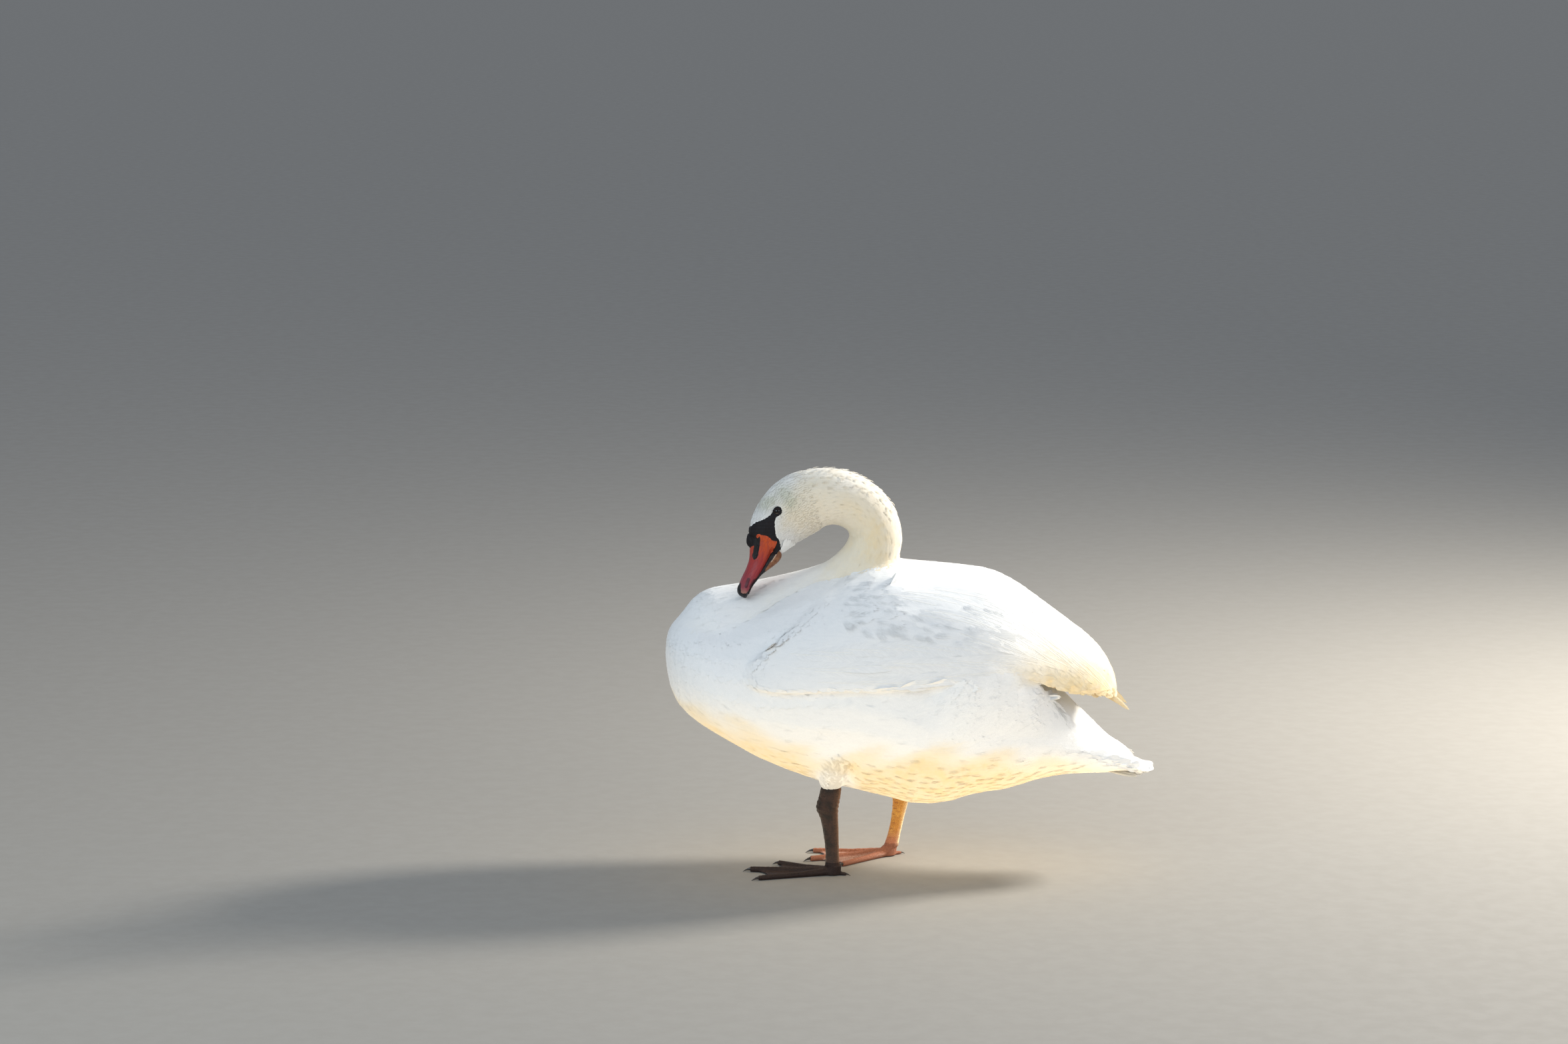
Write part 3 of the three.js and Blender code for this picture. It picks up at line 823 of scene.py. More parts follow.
WHITE = (0.88, 0.885, 0.88)
CREAM = (0.88, 0.79, 0.62)
# Painted warm light: the gold of light bounced up from the ground and of sunlight shining through
# the wing.
WARM_LIGHT_GOLD = (0.87, 0.67, 0.34)
GREY_GREEN = (0.54, 0.55, 0.41)


def plumage_colour(m):
    """White through cream to gold, mottled a little. The cream is the plumage's own buff; the gold
    is painted warm light.
    """
    buff_and_warm_light = m.number("buff_and_warm_light")
    mottle = m.ramp(m.noise(55, 4), 0.35, 0.68, -0.10, 0.10)
    share = m.plus(buff_and_warm_light, m.times(mottle, buff_and_warm_light), clamp=True)
    cool = m.mix(m.ramp(share, 0.0, 0.5), WHITE, CREAM)
    warm = m.mix(m.ramp(share, 0.45, 1.0), cool, WARM_LIGHT_GOLD)
    return m.mix(m.times(m.number("green_tinge"), 0.62), warm, GREY_GREEN)


def feather_material(name, barbs, shaft, streaks):
    """Barbs that slant off the shaft, streaks where they part with painted shade in them, and a
    tone for each feather.
    """
    m = Nodes(name)
    across, along, tone = m.split(m.vector("plume"))
    reach = m.math("ABSOLUTE", across)
    slant = m.math("SUBTRACT", along, m.times(reach, 0.28))
    phase = m.times(m.plus(slant, m.times(m.noise(420, 2), 0.05)), barbs)
    ribs = m.math("SINE", m.times(phase, 2 * math.pi))
    place = m.add("ShaderNodeCombineXYZ")
    for socket, value in zip(place.inputs, (slant, across, tone)):
        m.feed(socket, value)
    parting = m.noise(1.0, 3, m.stretched((22, 1.6, 90), place.outputs[0]), 0.6)
    quill = m.ramp(reach, 0.0, 0.09, 1.0, 0.0)
    height = m.plus(m.times(ribs, 0.25), m.times(quill, 2 * shaft))
    m.bump(m.plus(height, m.times(parting, 1.6 * streaks)), 0.4, 0.0005)
    tint = m.mix(m.times(tone, 0.07), plumage_colour(m), (0.62, 0.66, 0.70))
    # Painted shade: the partings between barbs turn grey as if shadowed.
    parting_shade = m.mix(m.ramp(parting, 0.38, 0.62, 0.16 * streaks, 0.0), tint, (0.55, 0.56, 0.58))
    shade = m.mix(m.times(quill, 0.35 * shaft), parting_shade, (0.90, 0.84, 0.72))
    rough = m.ramp(ribs, -1.0, 1.0, 0.82, 0.66)
    return m.finish(shade, rough, Sheen_Weight=0.15, Sheen_Roughness=0.5)


def skin_material():
    m = Nodes("down")
    fuzz = m.noise(900, 4)
    m.bump(fuzz, 0.5, 0.0006)
    tint = m.mix(m.ramp(fuzz, 0.3, 0.7, 0.25, 0.0), plumage_colour(m), (0.6, 0.58, 0.55))
    return m.finish(tint, m.ramp(fuzz, 0.3, 0.7, 0.95, 0.8))


SOFT = feather_material("contour_feathers", 18.0, 0.0, 0.6)
VANED = feather_material("vaned_feathers", 60.0, 0.7, 1.0)
DOWN = skin_material()


# The height at which the white of the side turns to the gold of painted warm light bounced up onto
# the underside: [x, z].
WARM_BOUNCE_LINE = [
    [-350, 275], [-295, 260], [-200, 220], [-120, 198], [-60, 206],
    [0, 216], [100, 212], [200, 190], [300, 161], [375, 146],
]
# How warm the neck is at its stations.
NECK_WARMTH = [0, 1.5, 4, 7, 9.5, 11, 13], [0.06, 0.16, 0.54, 0.50, 0.36, 0.24, 0.10]
# The grey-green spots on the head: [back, up, radius].
GREEN_TINGES = [(141, 28, 10), (151, 21, 8), (160, -6, 11), (170, 9, 12)]


def buff_and_warm_light(p, kind):
    """How cream or gold the plumage is at points in mm, by where they are on the bird. The neck's
    cream is its own buff; the warmth on the head's lower side, the wing, the underside and under
    the wing's rim is painted warm light.
    """
    x, y, z = p.T
    cloud = 0.05 * np.sin(x / 17 + 1.3 * np.sin(z / 13)) * np.sin(z / 19 + y / 23)
    if kind in ("head", "neck"):
        station, outward, _ = around_neck(p)
        base = np.interp(station, *NECK_WARMTH) * (1 - 0.25 * smooth(np.abs(outward), 0.2, 0.9))
        s, _, u = to_head(p).T
        # Painted warm bounce light on the head's lower side.
        cheek_bounce = 0.16 * smooth(u, 10, -14) * smooth(s, 104, 140) * smooth(s, 225, 175)
        return np.clip(base + cheek_bounce + cloud, 0, 1)
    if kind == "wing":
        # Painted glow of sunlight shining through the wing: its rear part and lower rim warm
        # towards gold.
        rear = smooth(x, 90, 240) * smooth(z, 430, 310)
        rim = smooth(x, 80, 220) * smooth(z, 352, 300)
        return 0.02 + 0.42 * rear + 0.34 * rim + 0.05 * smooth(x, 40, 140)
    # Painted warm bounce light: the underside turns gold below the line, in soft clouds.
    belly = smooth(z + 280 * cloud - column(WARM_BOUNCE_LINE, x, 1), 24, -38)
    far = np.hypot(x - np.where(y < 0, -118, -4), (np.abs(y) - LEG_ASIDE) * 0.6)
    white_thigh = 1 - 0.8 * smooth(far, 44, 26) * smooth(z, 215, 185)
    # Painted warm light under the wing's rim, the same as the painted glow of the rim.
    glow_under_canopy = 0.5 * smooth(x, 130, 195) * smooth(z, 296, 316)
    return np.clip(0.02 + 0.76 * belly * white_thigh + glow_under_canopy + 0.3 * cloud, 0, 1)


def green_tinge(p, kind):
    """Where the white of the head and upper neck is tinged grey-green."""
    if kind not in ("head", "neck"):
        return np.zeros(len(p))
    s, _, u = to_head(p).T
    spots = [np.exp(-((np.hypot(s - a, u - b) / r) ** 2)) for a, b, r in GREEN_TINGES]
    return np.clip(np.sum(spots, axis=0), 0, 1)


def put_tints(mesh, p, kinds):
    """Sets the buff with its painted warm light, and the grey-green tinge, on a mesh's points,
    given in mm, by their kinds of flesh.
    """
    for name, tint in (("buff_and_warm_light", buff_and_warm_light), ("green_tinge", green_tinge)):
        values = np.zeros(len(p))
        for kind in set(kinds.tolist()):
            values[kinds == kind] = tint(p[kinds == kind], kind)
        put(mesh, **{name: values})


# ---- Bill and bare face, in the head frame: [back from the bill's tip, aside, up] ----
BILL_UPPER = [
    [0.4, 3, -2.5, 4], [1.5, 7, -4, 9], [5, 11, -4.8, 13.5], [11, 13.2, -4.6, 16.3],
    [20, 14, -4.2, 17], [31, 14, -6.5, 16.6], [43, 13.6, -10, 16], [57, 15, -11.7, 16.2],
    [70, 19.5, -12.5, 17.4], [80, 24, -12.4, 18.8], [91, 29, -12.9, 20.2], [101, 33, -13, 21],
    [106, 33.5, -13, 20.5],
]
BILL_LOWER = [
    [8, 0, -6, 8], [20, 0, -6.2, 11], [31, -2, -8.6, 12], [43, -4, -12, 13],
    [53, -5, -17.5, 14], [67, -6, -25.5, 15], [77, -7, -28.6, 15.2], [83, -8, -27.4, 13.4],
    [90, -9, -22.5, 10.5], [96, -10, -17, 8],
]
# Outlines on the side of the head as [back, up]: the nostril, the bare skin, the bill's base that
# lies over the head, and the black that ends the orange.
NOSTRIL = [
    (95, 15.5), (93, 14), (90.2, 12), (80, 9.2), (68, 6), (62, 6), (59.5, 8),
    (60.5, 11.3), (64.5, 13.4), (77, 16.6), (81, 18), (90, 17.6),
]
LORE = [
    (78, 52), (99, 52), (100, 36), (104, 33.8), (107, 32.6), (112.2, 29.9), (117.7, 23.8),
    (123.8, 18.7), (131, 14.4), (136, 13), (141, 12), (141, 0), (134, 3), (130.9, 5.2),
    (125, 4.1), (114.4, -1), (109.4, -4.3), (104.5, -8.1), (101.6, -13.2), (97.8, -16.8),
    (90, -22.4), (80, -20),
]
HORN_BASE = [
    (80, -13.4), (84, -14.2), (88, -14.6), (94, -14.6), (100.5, -13.4), (102, -8),
    (102, 8), (101.5, 18), (96, 23), (88, 21), (80, 18),
]
BLACK_BASE = [
    (74.7, 20.6), (78.2, 18.2), (80.5, 16.8), (86, 15.4), (90.3, 16.2), (91.8, 19), (93.4, 20.8),
    (96.5, 20), (98.5, 17.6), (97.8, 14), (99.4, 9), (99.8, 5), (99, 0.2), (96.9, -3.4),
    (97.5, -7), (98.9, -11.8), (96, -13.4), (94, -14.2), (82, -14.4), (82, -40), (150, -40),
    (150, 60), (74.7, 60),
]


# ---- Coat ----
TRI_KIND = SKIN_KIND[SURFACE.tris[:, 0]]
TRI_CENTRE = SURFACE.co[SURFACE.tris].mean(axis=1) / MM
TRI_NORMAL = SURFACE.face_normals
TRI_DEPTH = SKIN_DEPTH[SURFACE.tris].mean(axis=1)
IN_HEAD = to_head(TRI_CENTRE)


POOL = 4.2  # roots tried for each square of the spacing


def spread(mask, spacing):
    """Well spaced roots on the masked triangles: places, normals and triangles. The spacing in mm
    is one number, or one for each triangle."""
    spacing = np.broadcast_to(np.maximum(spacing, 0.4), len(mask))
    weight = np.where(mask, 1 / (spacing * MM) ** 2, 0)
    count = int(POOL * np.sum(SURFACE.areas * weight))
    places, normals, tri = SURFACE.scatter(count, weight)
    gap = spacing[tri] * MM
    tree = point_tree(places)
    free = np.ones(count, bool)
    chosen = []
    for i in range(count):
        if not free[i]:
            continue
        chosen.append(i)
        near = np.array([found[1] for found in tree.find_range(places[i].tolist(), gap[i])])
        free[near[normals[near] @ normals[i] > 0.2]] = False
    return places[chosen], normals[chosen], tri[chosen]


def unwrap_trunk(roots):
    x, y, z = (roots / MM).T
    turn = np.arctan2(y, z - 270) / (2 * math.pi) + 0.5
    return grid(0.02 + 0.96 * (x + 375) / 750, 0.02 + 0.6 * turn)


def unwrap_neck(roots):
    station, _, turn = around_neck(roots / MM)
    return grid(0.02 + 0.96 * station / 13, 0.65 + 0.3 * (turn / (2 * math.pi) + 0.5))


def unwrap_small(roots):
    x, _, z = (roots / MM).T
    return grid(0.02 + 0.96 * (x + 375) / 750, 0.02 + 0.9 * z / 400)


def turned(way, n, degrees):
    """The ways turned about the normals by an angle each."""
    angle = np.radians(degrees)[:, None]
    return way * np.cos(angle) + np.cross(n, way) * np.sin(angle)


# A feather's measures in mm, or as shares of its width or length, unless they are given.
SIZE = {
    "length": 20, "width": 8, "low": 0.2, "high": 1.5, "camber": 0.06, "curl": 0.0, "twist": 0.0,
    "fray": 0.15, "over": 0.08, "vary": 0.3, "spin": 7.0, "lift": 0.0, "tuck": 0.30,
}


def batch(vane, roots, normals, kind, ways=None, wrap=False, **given):
    """One batch of feathers for coat, lying as flow_at says unless ways are given."""
    count = len(roots)
    size = {k: np.broadcast_to(v, count).astype(float) for k, v in (SIZE | given).items()}
    if ways is None:
        ways = flow_at(roots / MM, normals, kind)
    ways = turned(ways, normals, size["spin"] * RNG.normal(size=count) * 0.7)
    size["length"] *= 1 + size["vary"] * (RNG.random(count) - 0.5)
    size["width"] *= 0.88 + 0.24 * RNG.random(count)
    size["high"] *= 0.96 + 0.08 * RNG.random(count)
    size["twist"] += 0.05 * RNG.normal(size=count)
    hold = HOLD[kind]
    fits = room(roots, normals, ways, size["length"], hold)
    keep = fits > 0.3
    size["length"] *= np.minimum(1, fits + size["over"])
    roots, normals, ways = roots[keep], normals[keep], ways[keep]
    size = {k: v[keep] for k, v in size.items()}
    places, shade = grow(vane, roots, normals, ways, size, hold, wrap)
    lift = size["lift"][:, None]
    if np.any(lift > 0):
        along = dot(places - places[:, :1], ways[:, None])
        turn = unit(ways + normals * lift) - ways
        places = places + along * turn[:, None] * smooth(along / MM, 0, 4)
    return vane, places, shade, roots, RNG.random(len(roots))


def strew(vane, mask, spacing, kind, way=None, **given):
    """A batch of feathers spread over the masked triangles. A measure is one number, or one for
    each triangle, and a way is one vector for all."""
    roots, normals, tri = spread(mask, spacing)
    ways = None if way is None else flat(np.broadcast_to(way, normals.shape), normals)
    given = {k: v[tri] if np.ndim(v) else v for k, v in given.items()}
    return batch(vane, roots, normals, kind, ways, **given)


def bare_face(local):
    """True where the face is bare skin or bill: [back, aside, up] from the bill's tip."""
    side = local[:, [0, 2]]
    horn = outline_distance(side, HORN_BASE) < 0.6
    return (local[:, 0] < 88) | horn | (outline_distance(side, LORE) < 0.4)


def near_eye(local, reach):
    s, _, u = local.T
    return np.hypot(s - EYE_BACK, u - EYE_UP) < reach


def dress_head():
    skip = bare_face(IN_HEAD) | near_eye(IN_HEAD, 7.5)
    mask = (TRI_KIND == "head") & ~skip
    back, _, up = IN_HEAD.T
    size = 4.4 + 3.4 * smooth(back, 100, 190)
    short = {"length": size, "width": 0.4 * size}
    plain = strew(WISP, mask, 0.34 * size, "head", **short, high=0.9, camber=0.04)
    chin = (TRI_KIND == "head") & (up < -22) & (back < 110) & (back > 91)
    chin &= TRI_NORMAL @ HEAD_BACK > -0.7
    ahead = -HEAD_BACK - 0.3 * HEAD_UP
    long = {"length": 19, "width": 3.4, "vary": 0.5}
    fringe = strew(WISP, chin, 1.4, "head", ahead, **long, high=2.5, over=0.75)
    size = 1.3 * size
    long = {"length": size, "width": 0.3 * size}
    clear = mask & ~near_eye(IN_HEAD, 12)
    loose = strew(TUFT, clear, size, "head", **long, high=1.3, curl=0.3)
    coat("coat_head", "head", [plain, fringe, loose], unwrap_neck, SOFT)


def underlayer(mask, size, kind):
    """Short broad feathers half way up the coat, so that no gap opens down to the skin."""
    short = {"length": 0.8 * size, "width": 0.5 * (0.8 * size)}
    return strew(WISP, mask, 0.2 * size, kind, **short, high=0.5 * TRI_DEPTH, camber=0.03)


def dress_neck():
    mask = TRI_KIND == "neck"
    station = np.zeros(len(mask))
    station[mask] = spine_nearest(TRI_CENTRE[mask])[0]
    size = np.interp(station, [0, 3, 6, 9.5, 11], [24, 20, 16, 11, 8.5])
    shape = {"length": size, "width": 0.42 * size, "high": 0.8 * TRI_DEPTH}
    plain = strew(CONTOUR, mask, 0.23 * size, "neck", **shape)
    long = 1.1 * size
    shape = {"length": long, "width": 0.24 * long, "high": 0.85 * TRI_DEPTH}
    loose = strew(TUFT, mask, 0.6 * size, "neck", **shape)
    under = underlayer(mask, size, "neck")
    nape = mask & (station > 6.5) & (TRI_NORMAL[:, 2] > 0.35)
    spikes = strew(TUFT, nape, 9, "neck", length=14, width=4, high=2.0, spin=16, lift=0.14)
    coat("coat_neck", "neck", [under, plain, loose, spikes], unwrap_neck, SOFT, 0.75)


def dress_trunk():
    x, _, z = TRI_CENTRE.T
    size = np.interp(x, [-375, -330, -200, -50, 150, 300, 375], [22, 24, 28, 33, 36, 34, 30])
    size = size * (1 - 0.2 * smooth(z, 200, 130))
    rough = smooth(z, 230, 160) * smooth(x, -330, -150)
    neat = {"length": size, "width": 0.45 * size, "high": 0.75 * TRI_DEPTH}
    long = (1.1 - 0.25 * rough) * size
    shaggy = {"length": long, "width": 0.26 * long, "high": (0.78 + 0.34 * rough) * TRI_DEPTH}
    shaggy |= {"curl": 0.45 * rough, "spin": 6 + 12 * rough}
    for name, low, high in (("breast", -400, -150), ("belly", -150, 60), ("rump", 60, 400)):
        mask = (TRI_KIND == "trunk") & (x >= low) & (x < high) & (TRI_NORMAL[:, 0] < 0.8)
        plain = strew(CONTOUR, mask, 0.19 * size, "trunk", **neat)
        loose = strew(TUFT, mask, (0.8 - 0.36 * rough) * size, "trunk", **shaggy)
        under = underlayer(mask, size, "trunk")
        coat("coat_" + name, "trunk", [under, plain, loose], unwrap_trunk, SOFT, 0.75)


def dress_flanks():
    """Long soft feathers that fan up and back over each wing's lower edge."""
    x, _, z = TRI_CENTRE.T
    out = (TRI_KIND == "trunk") & (np.abs(TRI_NORMAL[:, 1]) > 0.45)
    mask = out & (on_flank(TRI_CENTRE) > 0.3) & (z < 330 - 16 * smooth(x, 90, 130))
    shape = {"length": 46, "width": 15, "high": 1.8}
    long = strew(CONTOUR, mask, 6, "trunk", **shape, spin=5, over=0.1)
    ruffled = mask & (x < 105) & (z > 258) & (z < 292)
    shape = {"length": 30, "width": 9, "high": 2.1}
    loose = strew(TUFT, ruffled, 15, "trunk", **shape, spin=14, over=0.3, curl=0.4)
    lip = out & (x > -20) & (x < 72) & (z > 268) & (z < 306)
    shape = {"length": 44, "width": 14, "high": 1.8}
    cover = strew(CONTOUR, lip, 6, "trunk", [1.0, 0.0, 0.42], **shape, over=0.5, spin=8)
    coat("coat_flanks", "trunk", [long, loose, cover], unwrap_trunk, SOFT, 0.7)


# Wing: [x, half width of the bird, top of the back], for placing its large feathers.
WING_LINE = [
    [-251, 149, 418], [-205, 168, 437], [-150, 174, 458], [-50, 174.5, 481],
    [50, 165, 471], [110, 151, 464], [175, 126, 433], [215, 107, 403],
    [258, 89, 371], [289, 72, 341], [313, 40, 293],
]
WING_WIDEST, WING_ROUNDNESS = 262, 2.25


def wing_spots(side, x, z):
    """Places and normals on a wing's outer skin at lengthwise and upright positions in mm."""
    width, top = (column(WING_LINE, x, k) for k in (1, 2))
    s = np.clip((z - WING_WIDEST) / (top - WING_WIDEST), 0, 1) ** (WING_ROUNDNESS / 2)
    y = side * width * np.maximum(1 - s**2, 1e-4) ** (1 / WING_ROUNDNESS)
    where, n, _ = SURFACE.nearest(grid(x, y, z) * MM)
    return where, n


def wing_row(side, ends, count, drop, scatter, **given):
    """A row of large feathers along a wing's line of (x, z) ends, drooping by drop."""
    share = np.linspace(0, 1, count)
    x, z = (np.interp(share, np.linspace(0, 1, len(ends)), v) for v in zip(*ends))
    x, z = (v + scatter * (RNG.random(count) - 0.5) * 2 for v in (x, z))
    where, n = wing_spots(side, x, z)
    droop = np.interp(share, np.linspace(0, 1, len(drop)), drop)
    return batch(QUILL, where, n, "wing", flat(grid(1, 0, droop), n), True, **given)


# The rows of a wing's large feathers: secondaries, greater and median coverts, the canopy's edge,
# tertials and scapulars. Each has its line's ends, count, droop and scatter, then the feathers'
# length, width, low, high and spin.
WING_ROWS = [
    ([(-165, 322), (-60, 322), (60, 332)], 26, (0, 0, 0.10), 2, 118, 19, 0.4, 1.7, 1.5),
    ([(-185, 340), (-60, 348), (90, 352)], 24, (-0.05, 0.0, -0.12), 3, 84, 20, 0.5, 2.0, 3),
    ([(-190, 362), (-60, 374), (100, 380)], 26, (-0.08, -0.1, -0.25), 4, 58, 21, 0.5, 2.2, 4),
    ([(60, 350), (150, 372), (235, 344)], 20, (-0.05, -0.25, -0.5), 3, 110, 24, 0.5, 1.9, 2),
    ([(60, 395), (140, 400), (235, 358)], 26, (-0.25, -0.5, -0.75), 4, 120, 27, 0.5, 2.1, 3),
    ([(-10, 420), (90, 428), (190, 392)], 26, (-0.2, -0.45, -0.85), 4, 120, 29, 0.5, 2.3, 3),
    ([(-60, 446), (50, 448), (150, 422)], 24, (-0.15, -0.3, -0.6), 4, 100, 30, 0.5, 2.4, 4),
]


def large_feathers(side):
    rows = []
    for *row, length, width, low, high, spin in WING_ROWS:
        size = {"length": length, "width": width, "low": low, "high": high, "spin": spin}
        rows.append(wing_row(side, *row, **size, camber=0.02, fray=0.16, vary=0.25, over=0.03))
    return rows


def scapulars(side):
    """Ragged shoulder and back feathers that break the light on the upper wing."""
    count = 115
    x = -120 + 300 * RNG.random(count)
    top = np.interp(x, [-120, -50, 50, 180], [462, 478, 468, 430])
    z = top - 9 - 57 * RNG.random(count) ** 1.3
    where, n = wing_spots(side, x, z)
    length = 40 + 22 * RNG.random(count)
    soft = batch(CONTOUR, where, n, "wing", length=length, width=18, high=1.8, curl=0.2, spin=10)
    count = 85
    x = -110 + 230 * RNG.random(count) ** 1.5
    z = 455 - 60 * RNG.random(count) - 0.18 * (x + 50)
    where, n = wing_spots(side, x, z)
    ways = flat(grid(1, 0, -0.55 + 0.3 * RNG.normal(size=count)), n)
    shape = {"length": 32, "width": 10, "high": 2.0, "curl": 0.4}
    loose = batch(TUFT, where, n, "wing", ways, **shape, spin=14, lift=0.02)
    return [soft, loose]


def dress_wing(name, side):
    x, y, _ = TRI_CENTRE.T
    out = side * TRI_NORMAL[:, 1] + 0.6 * TRI_NORMAL[:, 2]
    mine = (TRI_KIND == "wing") & (y * side > 0)
    small = np.interp(x, [-251, -200, -120, 0, 120, 313], [13, 16, 22, 28, 34, 40])
    edge = mine & (out >= -0.15) & (TRI_NORMAL[:, 2] < -0.3) & (x < 280)
    outer = mine & (out >= -0.15) & ~edge
    under = underlayer(outer, small, "wing")
    shape = {"length": small, "width": 0.46 * small}
    high = (0.55 + 0.4 * smooth(x, 0, -150)) * TRI_DEPTH
    plain = strew(CONTOUR, outer, 0.22 * small, "wing", **shape, high=high, over=0.03)
    shape = {"length": 22, "width": 6, "high": 1.4}
    rim = strew(WISP, edge, 4, "wing", [1.0, 0.0, 0.0], **shape, spin=3)
    shape = {"length": 40, "width": 16, "high": 1.0}
    lining = strew(COVERT, mine & (out < -0.15), 0.5 * small, "wing", **shape, spin=4)
    coat("coat_wing_" + name, "wing", [under, plain, rim, lining], unwrap_trunk, SOFT, 0.72)
    coat("quills_wing_" + name, "wing", large_feathers(side), unwrap_trunk, VANED, 0.35)
    coat("scapulars_" + name, "wing", scapulars(side), unwrap_trunk, SOFT, 0.9)


def free_quills(lines, normals, width):
    """QUILL vanes along free lines in mm, as (feather, station, place), with a normal for each."""
    lines = np.array(lines)
    way = unit(np.gradient(lines, axis=1))
    n = flat(np.broadcast_to(np.array(normals)[:, None], way.shape), way)
    across = np.cross(way, n)
    k = QUILL.station
    u, _, ridge = QUILL.verts.T
    lift = ridge * 0.05 * width - 0.06 * width * u**2
    places = lines[:, k] + across[:, k] * (u * width * 0.5)[:, None] + n[:, k] * lift[:, None]
    return QUILL, places * MM, n[:, k], lines[:, 0] * MM, RNG.random(len(lines))


def tail_quills():
    """Rectrices: a rounded, slightly drooping fan of stiff feathers, the middle pair on top."""
    lines, normals = [], []
    t = QUILL.along[:, None]
    for share in np.linspace(-1, 1, 18):
        angle = math.radians(13) * share
        start = np.array([272.0, 26 * share, 170.5 - 3.5 * share**2])
        reach = 101 - 26 * abs(share) ** 2.4
        line = start + t * reach * np.array([math.cos(angle), math.sin(angle), -0.145])
        line[:, 2] += 5.0 * (1 - share**2) - 7.0 * share**2 * t[:, 0]
        lines.append(line)
        normals.append([0.14, 0.25 * share, 1.0])
    return free_quills(lines, normals, 17)


FLIGHT_LINE = [[236, 60, 301], [270, 52, 293], [300, 40, 277], [318, 32, 264], [333, 27, 251]]


def primary_tips(side):
    """The folded primaries' ends past the wing: narrow pointed vanes, each a little shorter."""
    line = np.array(FLIGHT_LINE, float) * [1, side, 1]
    line = np.concatenate([[line[0] + (line[0] - line[1]) * 1.2], line])
    seg = np.linspace(0, 1, len(line))
    lines, normals = [], []
    for k, reach in enumerate((1.0, 0.94, 0.86, 0.79, 0.72)):
        at = QUILL.along * reach
        points = np.stack([np.interp(at, seg, line[:, c]) for c in range(3)], 1)
        points += grid(0, side * (1.7 * k - 2.0), 1.8 * k * at - 1.5)
        lines.append(points)
        normals.append([0.25, side, 0.35])
    return free_quills(lines, normals, 8.5)


def dress_ends():
    coat("quills_tail", "tail", [tail_quills()], unwrap_small, VANED, 0.3)
    for name, side in (("left", -1), ("right", 1)):
        ob = coat("primaries_" + name, "wing", [primary_tips(side)], unwrap_trunk, VANED, 0.3)
        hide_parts("flight_tip_" + name)


def dress_thighs():
    mask = (TRI_KIND == "thigh") & (TRI_NORMAL[:, 2] > -0.8)
    plain = strew(CONTOUR, mask, 3.0, "thigh", length=17, width=7, high=1.4, over=0.35)
    shape = {"length": 17, "width": 5, "high": 1.9}
    loose = strew(TUFT, mask, 4.5, "thigh", **shape, over=0.55, curl=0.5)
    coat("coat_thighs", "thigh", [plain, loose], unwrap_small, SOFT)


def dress_tail():
    x, y, z = TRI_CENTRE.T
    mask = (TRI_KIND == "tail") & (TRI_NORMAL[:, 0] < 0.5) & (x < 338)
    roots, normals, _ = spread(mask, 6)
    length = 40 - 20 * smooth(roots[:, 0] / MM, 290, 338)
    plain = batch(COVERT, roots, normals, "tail", length=length, width=13, high=1.2, spin=4)
    start = 246 + 9 * np.sin(z / 7 + y / 11) + 7 * np.sin(y / 5 - z / 13)
    near = (TRI_KIND == "trunk") & (x > start) & (x < 312)
    roots, normals, _ = spread(near, 9)
    shape = {"length": 46 - 14 * smooth(roots[:, 0] / MM, 285, 312), "width": 16, "high": 1.9}
    coverts = batch(CONTOUR, roots, normals, "trunk", **shape, over=0.05, spin=5)
    coat("coat_tail", "tail", [plain, coverts], unwrap_small, SOFT, 0.5)


dress_head()
dress_neck()
dress_trunk()
dress_flanks()
dress_wing("left", -1)
dress_wing("right", 1)
dress_ends()
dress_thighs()
dress_tail()

skin = link("skin", skin_mesh, [DOWN])
put_tints(skin_mesh, SURFACE.co / MM, SKIN_KIND)
declare(skin, "plumage", *FLESH)


# ---- Bill, face and eyes ----
def half_bill(table, rings, sides, roundness):
    """A bill half's rings of points, and the ways out from its middle line."""
    share = np.linspace(0, 1, rings) ** 1.25
    back, high, low, width = row_at(table, share * (len(table) - 1)).T[:, :, None]
    turn = circle(sides)
    c, s = (np.sign(v) * np.abs(v) ** (2 / roundness) for v in (np.cos(turn), np.sin(turn)))
    widest = low + (high - low) * 0.3
    up = widest + np.where(s > 0, (high - widest) * s, (widest - low) * s)
    return grid(back, width * c, up), unit(grid(0 * back, c, s))


def tube_faces(rings, sides):
    """Quads between rings, and a fan at each end onto two extra points."""
    faces = grid_quads(rings, sides).tolist()
    first, last = rings * sides, rings * sides + 1
    end = (rings - 1) * sides
    for k in range(sides):
        m = (k + 1) % sides
        faces += [[first, m, k], [last, end + k, end + m]]
    return faces


def capped(rings):
    """Rings of points in one list, with the middles of the first and last rings after them."""
    return np.concatenate([rings.reshape(-1, 3), [rings[0].mean(0), rings[-1].mean(0)]])


def tube(name, rings, material):
    """A closed tube through rings of points in the head's frame, in mm, and its points there."""
    local = capped(rings)
    mesh = mesh_from(name, from_head(local) * MM, tube_faces(*rings.shape[:2]))
    face_outward(mesh)
    return link(name, mesh, [material]), local


def bill_black(local):
    """Distance in mm to the black parts of the upper bill, negative inside them."""
    s, _, u = local.T
    side = local[:, [0, 2]]
    base = outline_distance(side, BLACK_BASE)
    nostril = outline_distance(side, NOSTRIL)
    low = column(BILL_UPPER, s, 2)
    rim = np.interp(s, [0, 6, 9, 13, 20, 30, 80, 84], [4.2, 4.4, 3.8, 2.2, 0.9, 0.7, 0.5, -4])
    tip = s - np.interp(u, [-5, -1, 3.8, 7.7, 11.6], [9.5, 8.5, 5.8, 6.6, 13.8])
    nail = np.interp(s, [0, 6, 12, 19, 21], [-9, 7, 9.6, 12.4, 30]) - u
    return np.minimum.reduce([base, nostril, (u - low) - rim, tip, nail])


